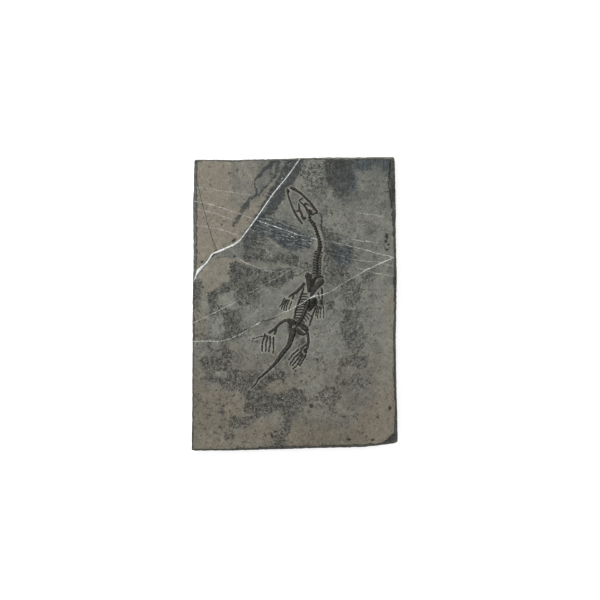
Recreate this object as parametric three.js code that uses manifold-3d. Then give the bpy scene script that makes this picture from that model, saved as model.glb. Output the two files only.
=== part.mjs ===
// Fossil marine reptile slab: a hand-trimmed plate of grey limestone, with the skeleton of a small long-necked
// marine reptile lying in low relief on its bedding face. Each bone that can be told apart is its own solid.
// Millimetres. +Z is up, out of the face with the bones, and +Y points to the head end.
// The origin is the middle of the underside. Left and right are as seen from above.

import * as THREE from "three";
import { mergeVertices } from "three/addons/utils/BufferGeometryUtils.js";
import Module from "manifold-3d";

const wasm = await Module();
wasm.setup();

// Driving dimensions
const SLAB = { width: 176, length: 250, thickness: 15 };
const EDGE_STEP = 8; // spacing of the breaks round the trimmed edge
const RELIEF = { plate: 1.1, column: 1.3, limb: 1.2, jaw: 1.1, rib: 0.8, digit: 0.8 }; // how proud each bone stands
const VEIN = { proud: 0.25, swell: 0.12, rooted: 0.6 }; // the thick calcite vein: it rises by swell per mm of width

const materials = {
  limestone: new THREE.MeshStandardMaterial({ color: 0x74736b, roughness: 0.88, metalness: 0 }),
  bone: new THREE.MeshStandardMaterial({ color: 0x2a2826, roughness: 0.62, metalness: 0 }),
};

// Helpers for numbers

// The value at place t of a profile, a list of [place, value] joined by straight lines.
function along(profile, t) {
  const next = profile.findIndex(([place]) => place >= t);
  if (next < 0) return profile.at(-1)[1];
  if (next === 0) return profile[0][1];
  const [fromPlace, from] = profile[next - 1];
  const [toPlace, to] = profile[next];
  return THREE.MathUtils.mapLinear(t, fromPlace, toPlace, from, to);
}

// A number from 0 to 1 that looks random, but is the same for the same pair of counts.
function rough(i, k) {
  const wave = Math.sin(i * 12.9898 + k * 78.233) * 43758.5453;
  return wave - Math.floor(wave);
}

// Helpers for solids

// A closed geometry through rings of [x, y, z] of equal length, counter-clockwise seen from the last ring's side,
// with flat caps over the first ring and the last.
function lofted(rings) {
  const size = rings[0].length;
  const index = [];
  for (let r = 0; r + 1 < rings.length; r++) {
    for (let i = 0; i < size; i++) {
      const j = (i + 1) % size;
      const [a, b, c, d] = [r * size + i, r * size + j, (r + 1) * size + j, (r + 1) * size + i];
      index.push(a, b, c, a, c, d);
    }
  }
  const last = (rings.length - 1) * size;
  for (let i = 1; i + 1 < size; i++) {
    index.push(0, i + 1, i);
    index.push(last, last + i, last + i + 1);
  }
  const geometry = new THREE.BufferGeometry();
  geometry.setAttribute("position", new THREE.Float32BufferAttribute(rings.flat(2), 3));
  geometry.setIndex(index);
  return geometry;
}

// The solid that a closed geometry bounds.
function solid(geometry) {
  const bare = geometry.clone();
  bare.deleteAttribute("normal");
  bare.deleteAttribute("uv");
  const merged = mergeVertices(bare, 1e-4);
  return new wasm.Manifold(
    new wasm.Mesh({
      numProp: 3,
      vertProperties: new Float32Array(merged.attributes.position.array),
      triVerts: new Uint32Array(merged.index.array),
    }),
  );
}

// The geometry of a solid's surface.
function surface(made) {
  const { vertProperties, triVerts } = made.getMesh();
  const geometry = new THREE.BufferGeometry();
  geometry.setAttribute("position", new THREE.BufferAttribute(new Float32Array(vertProperties), 3));
  geometry.setIndex(new THREE.BufferAttribute(new Uint32Array(triVerts), 1));
  geometry.computeVertexNormals();
  return geometry;
}

// Several overlapping geometries joined in one.
function joined(...geometries) {
  const solids = geometries.map(solid);
  return surface(solids.slice(1).reduce((whole, piece) => whole.add(piece), solids[0]));
}

// The limestone slab

// How far each side of the slab stands in from its bounding rectangle, and how wide the broken rim is on its face,
// at shares of the side's length. The sides run counter-clockwise: bottom, right, top, left.
const SIDES = [
  {
    inset: [[0, 0.1], [0.19, 0.2], [0.34, 1], [0.58, 2.7], [0.82, 3.6], [0.92, 5.3], [1, 7.3]],
    rim: [[0, 1.5], [0.1, 1.6], [0.3, 2.6], [0.6, 2.8], [0.8, 2], [0.94, 2.5], [1, 7]],
  },
  {
    inset: [[0, 0], [0.21, 1.4], [0.36, 2.1], [0.48, 1.5], [0.58, 1.2], [0.72, 1.9], [0.85, 2.1], [1, 3.1]],
    rim: [[0, 7], [0.05, 4.6], [0.1, 3.6], [0.3, 2.8], [0.7, 2.4], [0.82, 3.5], [0.93, 4.6], [1, 3]],
  },
  {
    inset: [[0, 0], [0.37, 0.3], [0.57, 1.5], [0.76, 2.3], [1, 2.4]],
    rim: [[0, 3], [0.1, 2.6], [0.4, 1.8], [1, 1.8]],
  },
  {
    inset: [[0, 2.6], [0.04, 2.3], [0.15, 1.5], [0.36, 1.8], [0.5, 1], [0.89, 0.6], [1, 0.3]],
    rim: [[0, 1.8], [0.1, 2.6], [0.3, 3.2], [0.5, 2], [1, 1.5]],
  },
];

// The outline as points with their inward direction and rim width. A corner belongs to the side that it starts,
// and its inward direction is halfway between its two sides.
function outline() {
  const halves = [SLAB.width / 2, SLAB.length / 2];
  const inward = [new THREE.Vector2(0, 1), new THREE.Vector2(-1, 0), new THREE.Vector2(0, -1), new THREE.Vector2(1, 0)];
  const corners = SIDES.map((side, s) => {
    const before = SIDES[(s + 3) % 4];
    const flat = s % 2 === 0;
    const own = (flat ? halves[1] : halves[0]) - side.inset[0][1];
    const other = (flat ? halves[0] : halves[1]) - before.inset.at(-1)[1];
    return new THREE.Vector2()
      .addScaledVector(inward[s], -own)
      .addScaledVector(inward[(s + 3) % 4], -other);
  });
  const points = [];
  SIDES.forEach((side, s) => {
    const [start, end] = [corners[s], corners[(s + 1) % 4]];
    const count = Math.round(start.distanceTo(end) / EDGE_STEP);
    const half = s % 2 === 0 ? halves[1] : halves[0];
    for (let i = 0; i < count; i++) {
      const share = i / count;
      const place = start.clone().lerp(end, share);
      place[s % 2 === 0 ? "y" : "x"] = -inward[s][s % 2 === 0 ? "y" : "x"] * (half - along(side.inset, share));
      const direction = i ? inward[s].clone() : inward[s].clone().add(inward[(s + 3) % 4]);
      points.push({ place, direction, rim: along(side.rim, share) });
    }
  });
  return points;
}

// The trimmed plate: a flat underside, rough upright sides, and a broken rim that slopes up to the flat face.
function plate() {
  const points = outline();
  const { thickness } = SLAB;
  const ring = (level, inset) =>
    points.map((point, i) => {
      const { x, y } = point.place.clone().addScaledVector(point.direction, inset(point, i));
      return [x, y, level(point, i)];
    });
  return lofted([
    ring(() => 0, (_, i) => 1.2 + 1.6 * rough(i, 1)),
    ring((_, i) => 2 + 1.4 * rough(i, 2), (_, i) => 0.3 + 0.6 * rough(i, 3)),
    ring((_, i) => 6.6 + 2 * rough(i, 4), (_, i) => 0.7 * Math.max(0, rough(i, 5) - 0.4)),
    ring(({ rim }, i) => thickness - 1.4 - 0.7 * rim - 0.8 * rough(i, 6), (_, i) => 0.2 + 0.5 * rough(i, 7)),
    ring(() => thickness, ({ rim }, i) => rim + 0.7 * (rough(i, 8) - 0.5)),
  ]);
}

// A rounded lump for cutting a hollow: radii [x, y, z], turned about the upright by turn degrees.
function lump([x, y, z], radii, turn, detail) {
  const geometry = new THREE.IcosahedronGeometry(1, detail);
  geometry.scale(...radii);
  geometry.rotateZ(THREE.MathUtils.degToRad(turn));
  geometry.translate(x, y, z);
  return geometry;
}

// Flakes struck off the upper edge: [x, y, radius along X, along Y, depth].
const FLAKES = [
  [-47.5, 123.3, 7, 2.4, 2.6],
  [46, 125.6, 10, 3, 3.4],
  [-86.6, 101, 3, 9, 4.2],
  [-87, 68, 3.2, 7, 4.4],
  [-87.6, -6, 2.6, 9, 3.6],
  [85.6, 92, 4.6, 12, 5.2],
  [87, 19, 2.8, 8, 3.4],
  [86.8, -58, 3, 10, 4.2],
  [86.6, -117.6, 8.5, 8, 5],
  [-20, -124.8, 13, 3, 3.8],
  [40, -122.6, 9, 2.6, 3.2],
];

// Small pits in the face: [x, y, radius along X, along Y, turn in degrees].
const PITS = [
  [-66.6, 44.2, 1.3, 1.9, -20],
  [-69.9, 40.6, 0.8, 0.9, 0],
  [-51.4, 53.9, 2.5, 0.9, 35],
  [-78.6, 35.6, 1.4, 0.8, 25],
  [-50.8, 40.3, 1.1, 0.8, 0],
  [-55.8, 25.8, 0.7, 0.6, 0],
  [78.8, 58.1, 0.9, 2.6, 5],
  [78, 54, 1.1, 1, 0],
  [79.6, 51, 0.8, 0.7, 0],
  [78.8, 46.2, 0.9, 0.8, 0],
  [46.3, -115.4, 2, 0.9, -5],
  [66.6, -115.6, 1.7, 0.8, 10],
  [81.2, -88.7, 0.8, 1.7, 0],
  [-19, -112, 0.8, 2.6, 24],
];

// The thick calcite vein, which stands a little proud of the face: [x, y, width].
const MAIN_VEIN = [
  [3.6, 121.6, 0.9],
  [-5.1, 109.6, 1],
  [-18.8, 92.5, 1.1],
  [-32.5, 72.8, 1],
  [-39.3, 63.4, 1.2],
  [-46.1, 54.7, 1.6],
  [-50.6, 50.9, 2.3],
  [-55.8, 48.4, 2.2],
  [-63.2, 45.2, 2.1],
  [-69.4, 42.6, 1.5],
  [-71.8, 39.2, 1.4],
  [-74.9, 34.9, 1.7],
  [-78.8, 31.2, 2.5],
  [-81.4, 28.2, 2.8],
  [-82.6, 24.6, 1.2],
];

function slab() {
  const { thickness } = SLAB;
  const ridge = loftedBar(MAIN_VEIN, (width) => VEIN.rooted + VEIN.proud + VEIN.swell * width, 4);
  ridge.translate(0, 0, thickness - VEIN.rooted);
  let stone = solid(plate()).add(solid(ridge));
  for (const [x, y, rx, ry, depth] of FLAKES) {
    stone = stone.subtract(solid(lump([x, y, thickness + 0.3], [rx, ry, depth], 7, 1)));
  }
  for (const [x, y, rx, ry, turn] of PITS) {
    stone = stone.subtract(solid(lump([x, y, thickness + 0.1], [rx, ry, 0.9], turn, 0)));
  }
  return surface(stone);
}

// Bones

// A bar lying on z = 0 along stations [x, y, width]: flat below and domed above, with its height given by its
// width. sides is the number of points across its section.
function loftedBar(stations, heightAt, sides) {
  const middle = stations.map(([x, y]) => new THREE.Vector2(x, y));
  const crown = Math.sin((Math.PI * Math.floor(sides / 2)) / (sides - 1));
  const rings = stations.map(([x, y, width], i) => {
    const ahead = middle[Math.min(i + 1, middle.length - 1)];
    const behind = middle[Math.max(i - 1, 0)];
    const { x: dx, y: dy } = ahead.clone().sub(behind).normalize();
    return Array.from({ length: sides }, (_, k) => {
      const angle = (Math.PI * k) / (sides - 1);
      const across = (Math.cos(angle) * width) / 2;
      const up = k === 0 || k === sides - 1 ? 0 : (Math.sin(angle) / crown) * heightAt(width);
      return [x - dy * across, y + dx * across, up];
    });
  });
  return lofted(rings);
}

// The same bar as high as relief where it is widest, and lower where it is narrow.
function domedBar(stations, relief, sides = 5) {
  const widest = Math.max(...stations.map(([, , width]) => width));
  return loftedBar(stations, (width) => relief * Math.sqrt(width / widest), sides);
}

// The same bar with rounded tips beyond its first and last station.
function roundedBar(stations, relief, sides) {
  const tip = (end, inner) => {
    const direction = new THREE.Vector2(end[0] - inner[0], end[1] - inner[1]).normalize();
    return [end[0] + direction.x * end[2] * 0.35, end[1] + direction.y * end[2] * 0.35, end[2] * 0.5];
  };
  const start = tip(stations[0], stations[1]);
  const end = tip(stations.at(-1), stations.at(-2));
  return domedBar([start, ...stations, end], relief, sides);
}

// A limb bone between two joints, flared at its ends and narrow at its shaft, bowed sideways by bow.
function limbBone(from, to, endWidth, shaftWidth, bow = 0) {
  const [x0, y0] = from;
  const [dx, dy] = [to[0] - x0, to[1] - y0];
  const length = Math.hypot(dx, dy);
  const flare = [[0, endWidth], [0.3, shaftWidth], [0.7, shaftWidth], [1, endWidth]];
  const stations = flare.map(([share, width]) => {
    const side = (bow * 4 * share * (1 - share)) / length;
    return [x0 + dx * share - dy * side, y0 + dy * share + dx * side, width];
  });
  return roundedBar(stations, RELIEF.limb);
}

// A row of bones end to end, such as a finger or a backbone. joints are [x, y, width], and each link swells
// beside its joints and is pinched at them.
function chain(joints, relief, sides = 4) {
  const pinch = 0.7;
  const stations = [];
  for (let i = 0; i + 1 < joints.length; i++) {
    const at = (share) => joints[i].map((value, k) => THREE.MathUtils.lerp(value, joints[i + 1][k], share));
    const [waist, near, far] = [at(0), at(0.2), at(0.8)];
    stations.push([waist[0], waist[1], waist[2] * pinch], near, far);
  }
  const [x, y, width] = joints.at(-1);
  stations.push([x, y, width * pinch]);
  return domedBar(stations, relief, sides);
}

// A column of vertebrae along a smooth curve through landmarks [x, y, width].
function column(landmarks, count) {
  const curve = new THREE.CatmullRomCurve3(landmarks.map(([x, y, width]) => new THREE.Vector3(x, y, width)));
  const joints = curve.getSpacedPoints(count).map(({ x, y, z }) => [x, y, z]);
  return { joints, geometry: chain(joints, RELIEF.column) };
}

// Skull: two long jaws and the broken bones of the palate between them
const JAW_RIGHT = [
  [-3.7, 99.4, 1.8],
  [-1.4, 98.2, 2.6],
  [1.6, 96.6, 1.9],
  [6.2, 93.3, 1.6],
  [10, 89.5, 1.6],
  [13.8, 85.8, 1.7],
  [16.8, 81.6, 2],
  [19.3, 78.3, 2.1],
];
const JAW_LEFT = [
  [-6.3, 97.6, 1.6],
  [-5.7, 93.7, 1.2],
  [-4.4, 89.2, 1.1],
  [-2.5, 83.8, 1.2],
  [-0.3, 78.9, 1.4],
  [2.4, 74, 1.3],
  [5, 70.2, 1.2],
  [6.8, 68.1, 0.8],
];
const JAW_HOOK = [
  [19.2, 78.2, 1.5],
  [17.4, 76.3, 1],
];
const JAW_LEFT_TIP = [
  [-6.2, 97.7, 1.3],
  [-4.2, 95.2, 1.1],
];
const PALATE_RIGHT = [
  [
    [3.9, 88.2, 1.3],
    [7.2, 84.5, 1.5],
    [10.1, 81.5, 1.7],
    [11.7, 79.1, 2.5],
    [13, 77.4, 3.1],
    [15.2, 76.2, 1.6],
  ],
  [
    [3.9, 88.2, 1.2],
    [6.6, 90, 1.1],
  ],
  [
    [8.3, 83.4, 1.2],
    [11.8, 84.4, 1.1],
  ],
];
const PALATE_LEFT = [
  [
    [3.7, 85.4, 1],
    [4, 82.4, 1.3],
    [4.3, 79.8, 1.9],
    [6, 76.9, 1.6],
    [6.7, 73.9, 1.6],
    [8.2, 72.6, 1.8],
    [9.6, 73.8, 1.4],
  ],
  [
    [4.3, 79.7, 1.4],
    [1.5, 78.9, 1],
  ],
];

function skull() {
  const bars = (paths) => paths.map((path) => roundedBar(path, RELIEF.jaw));
  return {
    jaw_right: joined(...bars([JAW_RIGHT, JAW_HOOK])),
    jaw_left: joined(...bars([JAW_LEFT, JAW_LEFT_TIP])),
    palate_right: joined(...bars(PALATE_RIGHT)),
    palate_left: joined(...bars(PALATE_LEFT)),
  };
}

// Neck, backbone, ribs and tail
const NECK = [
  [12.7, 74.8, 1.5],
  [13.5, 71.3, 1.7],
  [15.9, 68.2, 2],
  [18.6, 64.2, 1.9],
  [19.8, 60, 1.9],
  [20.6, 56, 2],
  [21.5, 51.6, 2.4],
  [21.6, 47.4, 2.7],
  [20.6, 43.2, 2.5],
  [19.5, 39.4, 2.2],
  [19.1, 33, 2.3],
  [19, 25.4, 2.4],
];
const NECK_BONES = 29;
const NECK_RIBS = { first: 19, reach: 2.9, width: 0.95 }; // the first vertebra with neck ribs, and how far they stand out
const SHOULDER_VERTEBRAE = [
  [14.9, 21, 1.3],
  [15.1, 18, 1.5],
  [15, 14.8, 1.4],
];
const BACKBONE = [
  [12.3, 4.6, 2],
  [11.4, 0.8, 2.3],
  [9.9, -3.4, 2.4],
  [8.2, -7.2, 2.4],
  [7, -10.6, 2.3],
  [5, -13.9, 2.2],
  [2.7, -16.5, 2.1],
  [1.4, -18.8, 2],
];
const BACKBONE_BONES = 10;
const TAIL = [
  [0.1, -21.2, 3.4],
  [-1.3, -24.2, 4.5],
  [-2.4, -27.4, 4.8],
  [-3.4, -31.4, 4.6],
  [-4.9, -35.4, 4.3],
  [-7.6, -39.2, 4.2],
  [-10.6, -43, 4.2],
  [-12.9, -46.6, 3.6],
  [-16.1, -50.5, 2.9],
  [-20, -54.4, 2.4],
  [-24.4, -58.3, 1.8],
  [-28.3, -61.7, 1.5],
  [-31.2, -64.2, 1.2],
  [-32.4, -67, 1],
  [-35, -70, 0.9],
  [-37.3, -72.4, 0.7],
];
const TAIL_BONES = 30;

// Each rib runs from the backbone to the flank, turns back there and lies along the ribs behind it.
const LEFT_RIB_HEADS = [
  [11.2, 8.4],
  [11, 6.1],
  [11.6, 3.9],
  [11.2, 1.7],
  [10.6, -0.4],
  [9.8, -2.6],
  [8.8, -5],
  [7.8, -7.3],
  [6.8, -9.7],
  [5.2, -12.2],
];
const LEFT_FLANK = [
  [8.1, 14.3],
  [7, 11.4],
  [5.7, 8.2],
  [4.8, 6],
  [4, 3.6],
  [3.3, 1.4],
  [2.6, -0.7],
  [1.8, -2.9],
  [0.9, -5.2],
  [0.5, -7.4],
  [0.2, -9.8],
  [-0.4, -12.2],
];
const RIGHT_RIB_HEADS = [
  [8.8, -6.6],
  [8.2, -8.2],
  [7.2, -10.8],
  [5.4, -13],
];
const RIGHT_RIB_TIPS = [
  [14.8, -11.2],
  [12.3, -13.3],
  [10.4, -15],
  [8.6, -16.2],
];
const RIGHT_FLANK = [
  [18.6, 0.4],
  [18, -2.4],
  [17.1, -5],
  [16.2, -7.3],
  [15.3, -9.5],
  [14.8, -11.6],
  [13.8, -14.2],
  [12.6, -18.2],
];
const RIB_WIDTH = 1;
const FLANK_WIDTH = 1.35;

function neck() {
  const { joints, geometry } = column(NECK, NECK_BONES);
  const ribs = joints.slice(NECK_RIBS.first, -1).map(([x, y], i) => {
    const next = joints[NECK_RIBS.first + i + 1];
    const [midX, midY] = [(x + next[0]) / 2, (y + next[1]) / 2];
    const { reach, width } = NECK_RIBS;
    const tips = [midX - reach, midX + reach].map((tipX) => [tipX, midY - 0.3, width]);
    return domedBar([tips[0], [midX, midY, width * 0.7], tips[1]], RELIEF.rib, 4);
  });
  return joined(geometry, ...ribs);
}

function backboneAndRibs() {
  const flank = (points) => domedBar(points.map(([x, y], i) => [x, y, i ? FLANK_WIDTH : 0.7]), RELIEF.rib, 4);
  const left = LEFT_RIB_HEADS.map(([x, y], i) => {
    const [bendX, bendY] = LEFT_FLANK[i + 2];
    const middle = [(x + bendX) / 2, (y + bendY) / 2 + 0.5, RIB_WIDTH];
    return domedBar([[x, y, RIB_WIDTH], middle, [bendX, bendY, RIB_WIDTH]], RELIEF.rib, 4);
  });
  const right = RIGHT_RIB_HEADS.map(([x, y], i) => {
    const [tipX, tipY] = RIGHT_RIB_TIPS[i];
    const middle = [(x + tipX) / 2 + 0.5, (y + tipY) / 2 + 0.4, RIB_WIDTH];
    return domedBar([[x, y, RIB_WIDTH], middle, [tipX, tipY, RIB_WIDTH * 0.8]], RELIEF.rib, 4);
  });
  return joined(column(BACKBONE, BACKBONE_BONES).geometry, flank(LEFT_FLANK), flank(RIGHT_FLANK), ...left, ...right);
}

// Broad bones of the shoulders, the belly and the hips: [x, y, width] along each
const SHOULDER_LEFT = [
  [11.5, 26.4, 3.2],
  [11.8, 23.6, 4.4],
  [12, 20, 3.7],
  [12.1, 16.1, 3.4],
  [12.2, 12.8, 3.3],
  [12.3, 10.9, 2.6],
];
const SHOULDER_RIGHT = [
  [23.3, 20.4, 3],
  [22.8, 19, 4],
  [21.1, 17, 4.1],
  [19, 15, 3.9],
  [17, 12.2, 3.4],
  [15, 9.6, 2.8],
  [13.6, 7.4, 2],
];
const COLLAR_BONE = [
  [16.8, 17.8, 1],
  [16.9, 20.2, 1.5],
  [18, 22.2, 1.7],
  [20.4, 23.3, 1.7],
  [23, 23.3, 1.6],
];
const BELLY_MIDLINE = [
  [16.9, 3.4, 1.4],
  [15.6, 0.4, 2.6],
  [14.2, -2.6, 2.8],
  [13, -5.2, 1.6],
];
const BELLY_RIB_ROWS = { count: 7, halfLength: 2.3, rise: 0.55, width: 1.2 };
const HIP_LEFT = [
  [
    [-5.3, -13.4, 2],
    [-3.2, -14.1, 3.6],
    [-0.8, -15.2, 3.4],
    [0.1, -16.2, 2],
  ],
  [
    [-3.2, -15, 2.4],
    [-3.5, -20, 2],
  ],
];
const HIP_RIGHT = [
  [5.2, -17.1, 1.8],
  [6.8, -18.4, 3.5],
  [8.8, -20, 3.8],
  [10.2, -21.4, 2.6],
];
const ISCHIUM = [
  [3.4, -20.8, 1.4],
  [4.4, -22.6, 2.8],
  [6, -24.4, 2.9],
  [7.9, -25.8, 1.8],
];

// The belly ribs: slanting rows that cross a middle bar and touch each other.
function bellyRibs() {
  const { count, halfLength, rise, width } = BELLY_RIB_ROWS;
  const curve = new THREE.CatmullRomCurve3(BELLY_MIDLINE.map(([x, y]) => new THREE.Vector3(x, y, 0)));
  const rows = curve.getSpacedPoints(count - 1).map(({ x, y }, i) => {
    const half = halfLength * (1 - 0.35 * Math.abs((2 * i) / (count - 1) - 1));
    const lower = [x - half, y - half * rise, width * 0.7];
    const upper = [x + half, y + half * rise, width * 0.7];
    return domedBar([lower, [x, y, width], upper], RELIEF.rib, 4);
  });
  return joined(domedBar(BELLY_MIDLINE, RELIEF.rib * 0.7, 4), ...rows);
}

function broadBones() {
  const broad = (path) => roundedBar(path, RELIEF.plate);
  return {
    shoulder_left: broad(SHOULDER_LEFT),
    shoulder_right: broad(SHOULDER_RIGHT),
    collar_bone: broad(COLLAR_BONE),
    belly_ribs: bellyRibs(),
    hip_left: joined(...HIP_LEFT.map(broad)),
    hip_right: broad(HIP_RIGHT),
    ischium: broad(ISCHIUM),
  };
}

// Limbs
function limbBones() {
  return {
    humerus_left: limbBone([8, 17.4], [0.5, 9.3], 2.8, 2.2, 0.3),
    radius_left: limbBone([-1.6, 9.6], [-4.8, 6.3], 1.5, 1.1),
    ulna_left: limbBone([-0.7, 7.1], [-1.8, 4.4], 1.5, 1.1),
    humerus_right: limbBone([22.9, 13.2], [23.1, 9.4], 2, 1.6, 0.4),
    radius_right: limbBone([23.7, 7.4], [23.4, 4.4], 1.5, 1.2),
    ulna_right: limbBone([20, 9.8], [20.8, 5], 1, 0.8),
    wrist_right: roundedBar([[22.6, 2.4, 2.4], [22.9, 0.6, 2.8]], RELIEF.digit),
    femur_left: limbBone([-7.9, -13.9], [-16.2, -20.6], 2.5, 2.1, -0.9),
    tibia_left: limbBone([-18.3, -21.8], [-21.8, -24.4], 2.2, 1.7),
    fibula_left: limbBone([-16.2, -23.6], [-17.3, -25.8], 1.8, 1.3),
    femur_right: limbBone([11.1, -24.6], [11.7, -32.8], 2.3, 1.9, 0.3),
    tibia_right: limbBone([11.3, -34.8], [10.2, -37.8], 1.9, 1.5),
    fibula_right: limbBone([9, -35.2], [7, -37.7], 1.4, 1.1),
    ankle_right: roundedBar([[7.6, -40.3, 1.8], [9.9, -40.8, 1.9]], RELIEF.digit),
  };
}

// Fingers and toes, each a list of its joints from the wrist or ankle to the tip: [x, y]
const DIGITS = {
  finger_left: {
    width: 1,
    joints: [
      [[-8.1, 5.4], [-9.7, 3.1], [-10.3, 1], [-11.6, -1], [-13.4, -2.6]],
      [[-7.2, 3.9], [-8.6, 1.5], [-9.8, -0.9], [-10.8, -2.8], [-11.4, -4.9]],
      [[-5.7, 4], [-6.9, 1.8], [-8, -0.4], [-8.8, -2.9], [-9.3, -5.6]],
      [[-4.2, 4], [-5.3, 1.4], [-6.4, -1], [-7, -3.4], [-7.5, -6]],
      [[-2.4, 2.4], [-3.2, 0.2], [-4.2, -2], [-5, -5.3]],
    ],
  },
  finger_right: {
    width: 1,
    joints: [
      [[20.2, -0.8], [19.1, -4.6], [18.2, -7.8], [18, -11]],
      [[21.5, -1.6], [20.6, -4.8], [19.7, -8.4], [19.6, -13]],
      [[22.6, -2.2], [22.2, -5.8], [21.8, -9], [22, -12.4]],
      [[24.4, -1.6], [24.5, -5], [24.8, -8.6], [24.6, -12.8]],
    ],
  },
  toe_left: {
    width: 1.3,
    joints: [
      [[-26.6, -27.2], [-30, -27.6], [-33.2, -28.9], [-36.8, -29.5]],
      [[-25.2, -25], [-25.6, -28], [-27, -31.2], [-27.4, -34.6], [-27.7, -37.6], [-27.5, -40.8]],
      [[-23.5, -26.4], [-23.1, -30], [-24.5, -33.2], [-24.1, -37], [-24.8, -40.8]],
      [[-20.8, -27], [-20.7, -31], [-20.7, -34.2], [-21.6, -38], [-21.9, -41.4]],
      [[-17.8, -27.6], [-17.9, -31.4], [-17.8, -35.2], [-17.9, -38.6], [-18.3, -42.4]],
    ],
  },
  toe_right: {
    width: 1.2,
    joints: [
      [[3.8, -38.2], [1.2, -40.6], [-1.8, -43], [-3.5, -45.7], [-5.6, -48]],
      [[5.2, -39.4], [3.6, -42.2], [-0.1, -45.3], [-1.4, -48], [-3.5, -50.2], [-4, -52.2]],
      [[5.9, -42.4], [3.7, -45.3], [1.4, -48.4], [-0.8, -51], [-2.2, -52.6]],
      [[7, -43.9], [5.2, -46.8], [3.8, -49.4], [2, -52.2], [-0.2, -54.4], [-2, -55.4]],
      [[9.5, -43], [8.4, -46], [6.6, -48.6], [5.4, -50.8], [4, -52.9]],
    ],
  },
};

function digits() {
  const made = {};
  for (const [name, { width, joints }] of Object.entries(DIGITS)) {
    joints.forEach((points, i) => {
      const tapered = points.map(([x, y], k) => [x, y, width * (1 - (0.35 * k) / (points.length - 1))]);
      made[`${name}_${i + 1}`] = chain(tapered, RELIEF.digit);
    });
  }
  return made;
}

// The whole object. The bones lie on the face, so their group stands at the slab's thickness.
function pieceGroup(geometries, material) {
  const group = new THREE.Group();
  for (const [name, geometry] of Object.entries(geometries)) {
    const mesh = new THREE.Mesh(geometry, material);
    mesh.name = name;
    group.add(mesh);
  }
  return group;
}

const spine = {
  neck: neck(),
  shoulder_vertebrae: column(SHOULDER_VERTEBRAE, 4).geometry,
  backbone_and_ribs: backboneAndRibs(),
  tail: column(TAIL, TAIL_BONES).geometry,
};

const skeleton = new THREE.Group();
skeleton.position.z = SLAB.thickness;
for (const part of [skull(), spine, broadBones(), limbBones(), digits()]) {
  skeleton.add(pieceGroup(part, materials.bone));
}

const fossilSlab = new THREE.Group();
fossilSlab.add(pieceGroup({ slab: slab() }, materials.limestone), skeleton);

export default fossilSlab;
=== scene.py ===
import bpy
import numpy as np
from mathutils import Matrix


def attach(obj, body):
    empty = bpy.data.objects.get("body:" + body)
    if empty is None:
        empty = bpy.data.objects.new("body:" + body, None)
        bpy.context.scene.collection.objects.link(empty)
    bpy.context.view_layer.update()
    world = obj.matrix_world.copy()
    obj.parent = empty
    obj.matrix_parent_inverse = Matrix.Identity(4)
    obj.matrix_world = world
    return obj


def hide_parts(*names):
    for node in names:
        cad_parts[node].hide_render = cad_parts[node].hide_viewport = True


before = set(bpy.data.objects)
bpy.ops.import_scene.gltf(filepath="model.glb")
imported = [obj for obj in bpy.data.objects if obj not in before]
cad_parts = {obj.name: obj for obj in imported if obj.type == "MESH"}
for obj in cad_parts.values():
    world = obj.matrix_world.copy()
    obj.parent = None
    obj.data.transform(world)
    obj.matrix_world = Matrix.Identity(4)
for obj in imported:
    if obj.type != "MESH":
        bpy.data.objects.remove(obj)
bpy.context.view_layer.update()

# Sizes of the slab
MM = 0.001
HALF_WIDTH = 88.0
HALF_LENGTH = 125.0
THICKNESS = 15.0
FACE_COLUMNS = 216
FACE_ROWS = 306
SIDE_RINGS = 14
UNDERSIDE_RINGS = 5
CORNER_RADIUS = 2.0

# The slab's small shapes: depths and heights, with the sizes of the noise that roughens them
RAGGED_DEPTH = 0.45
RAGGED_SIZE = 5.0
FACE_LEVEL = -0.04
FACE_WAVE = 0.06
FACE_WAVE_SIZE = 14.0
CHIP_SHARE = 0.55
CHIP_SIZE = 4.0
RIM_FALL = 0.7
RIM_FALL_SHARE = 0.45
RIM_FALL_POWER = 1.4
RIM_BUMP = 0.12
RIM_BUMP_SIZE = 2.0
FLAKE_LIP = 0.3
FLAKE_BUMP_SHARE = 0.1
FLAKE_BUMP_SIZE = 3.0
PIT_DEPTH = 0.7
VEIN_DIP = 0.25
VEIN_DIP_REACH = 1.6
SIDE_BUMP = 0.55
SIDE_BUMP_SIZE = 6.0
LEDGE_BUMP = 0.4
LEDGE_SIZE = 3.0
SIDE_SET_BACK = 0.15
TURN_UNDER = 2.0
TURN_UNDER_HEIGHT = 2.6

# The thick vein's ridge: how its path wanders and its width and skin vary, its height and its ends
VEIN_STEP = 0.4
VEIN_WANDER = 0.2
VEIN_WANDER_SIZE = 2.2
VEIN_SWELL_SHARE = 0.4
VEIN_SWELL_SIZE = 1.6
VEIN_BUMP_SHARE = 0.35
VEIN_BUMP_SIZE = 0.8
VEIN_LEVEL = -0.06
VEIN_RISE = 0.25
VEIN_RISE_SHARE = 0.12
VEIN_ROOT = 0.5
VEIN_END = 1.2

# A distance to a bone or vein that counts as far away, and how far from a bone distances are worked out
FAR = 9.0
BONE_REACH = 5.0

# How far each side stands in from the rectangle, at places along it
INSET_TOP = ([-85, -54, -11.5, 22.5, 85], [1.9, 2.1, 1.2, 0.0, -0.3])
INSET_BOTTOM = ([-88, -54, -28.5, 14, 56.5, 73.5, 88], [0.0, 0.2, 0.8, 2.1, 2.9, 4.7, 6.5])
INSET_RIGHT = ([-118, -73, -35, -5, 20, 54, 88, 125], [0.0, 1.1, 1.7, 1.1, 0.8, 1.6, 1.6, 2.6])
INSET_LEFT = ([-125, -99, -39, 3, 36, 88, 114, 125], [0.3, 0.6, 1.0, 1.0, 1.8, 1.5, 2.3, 2.6])

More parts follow.
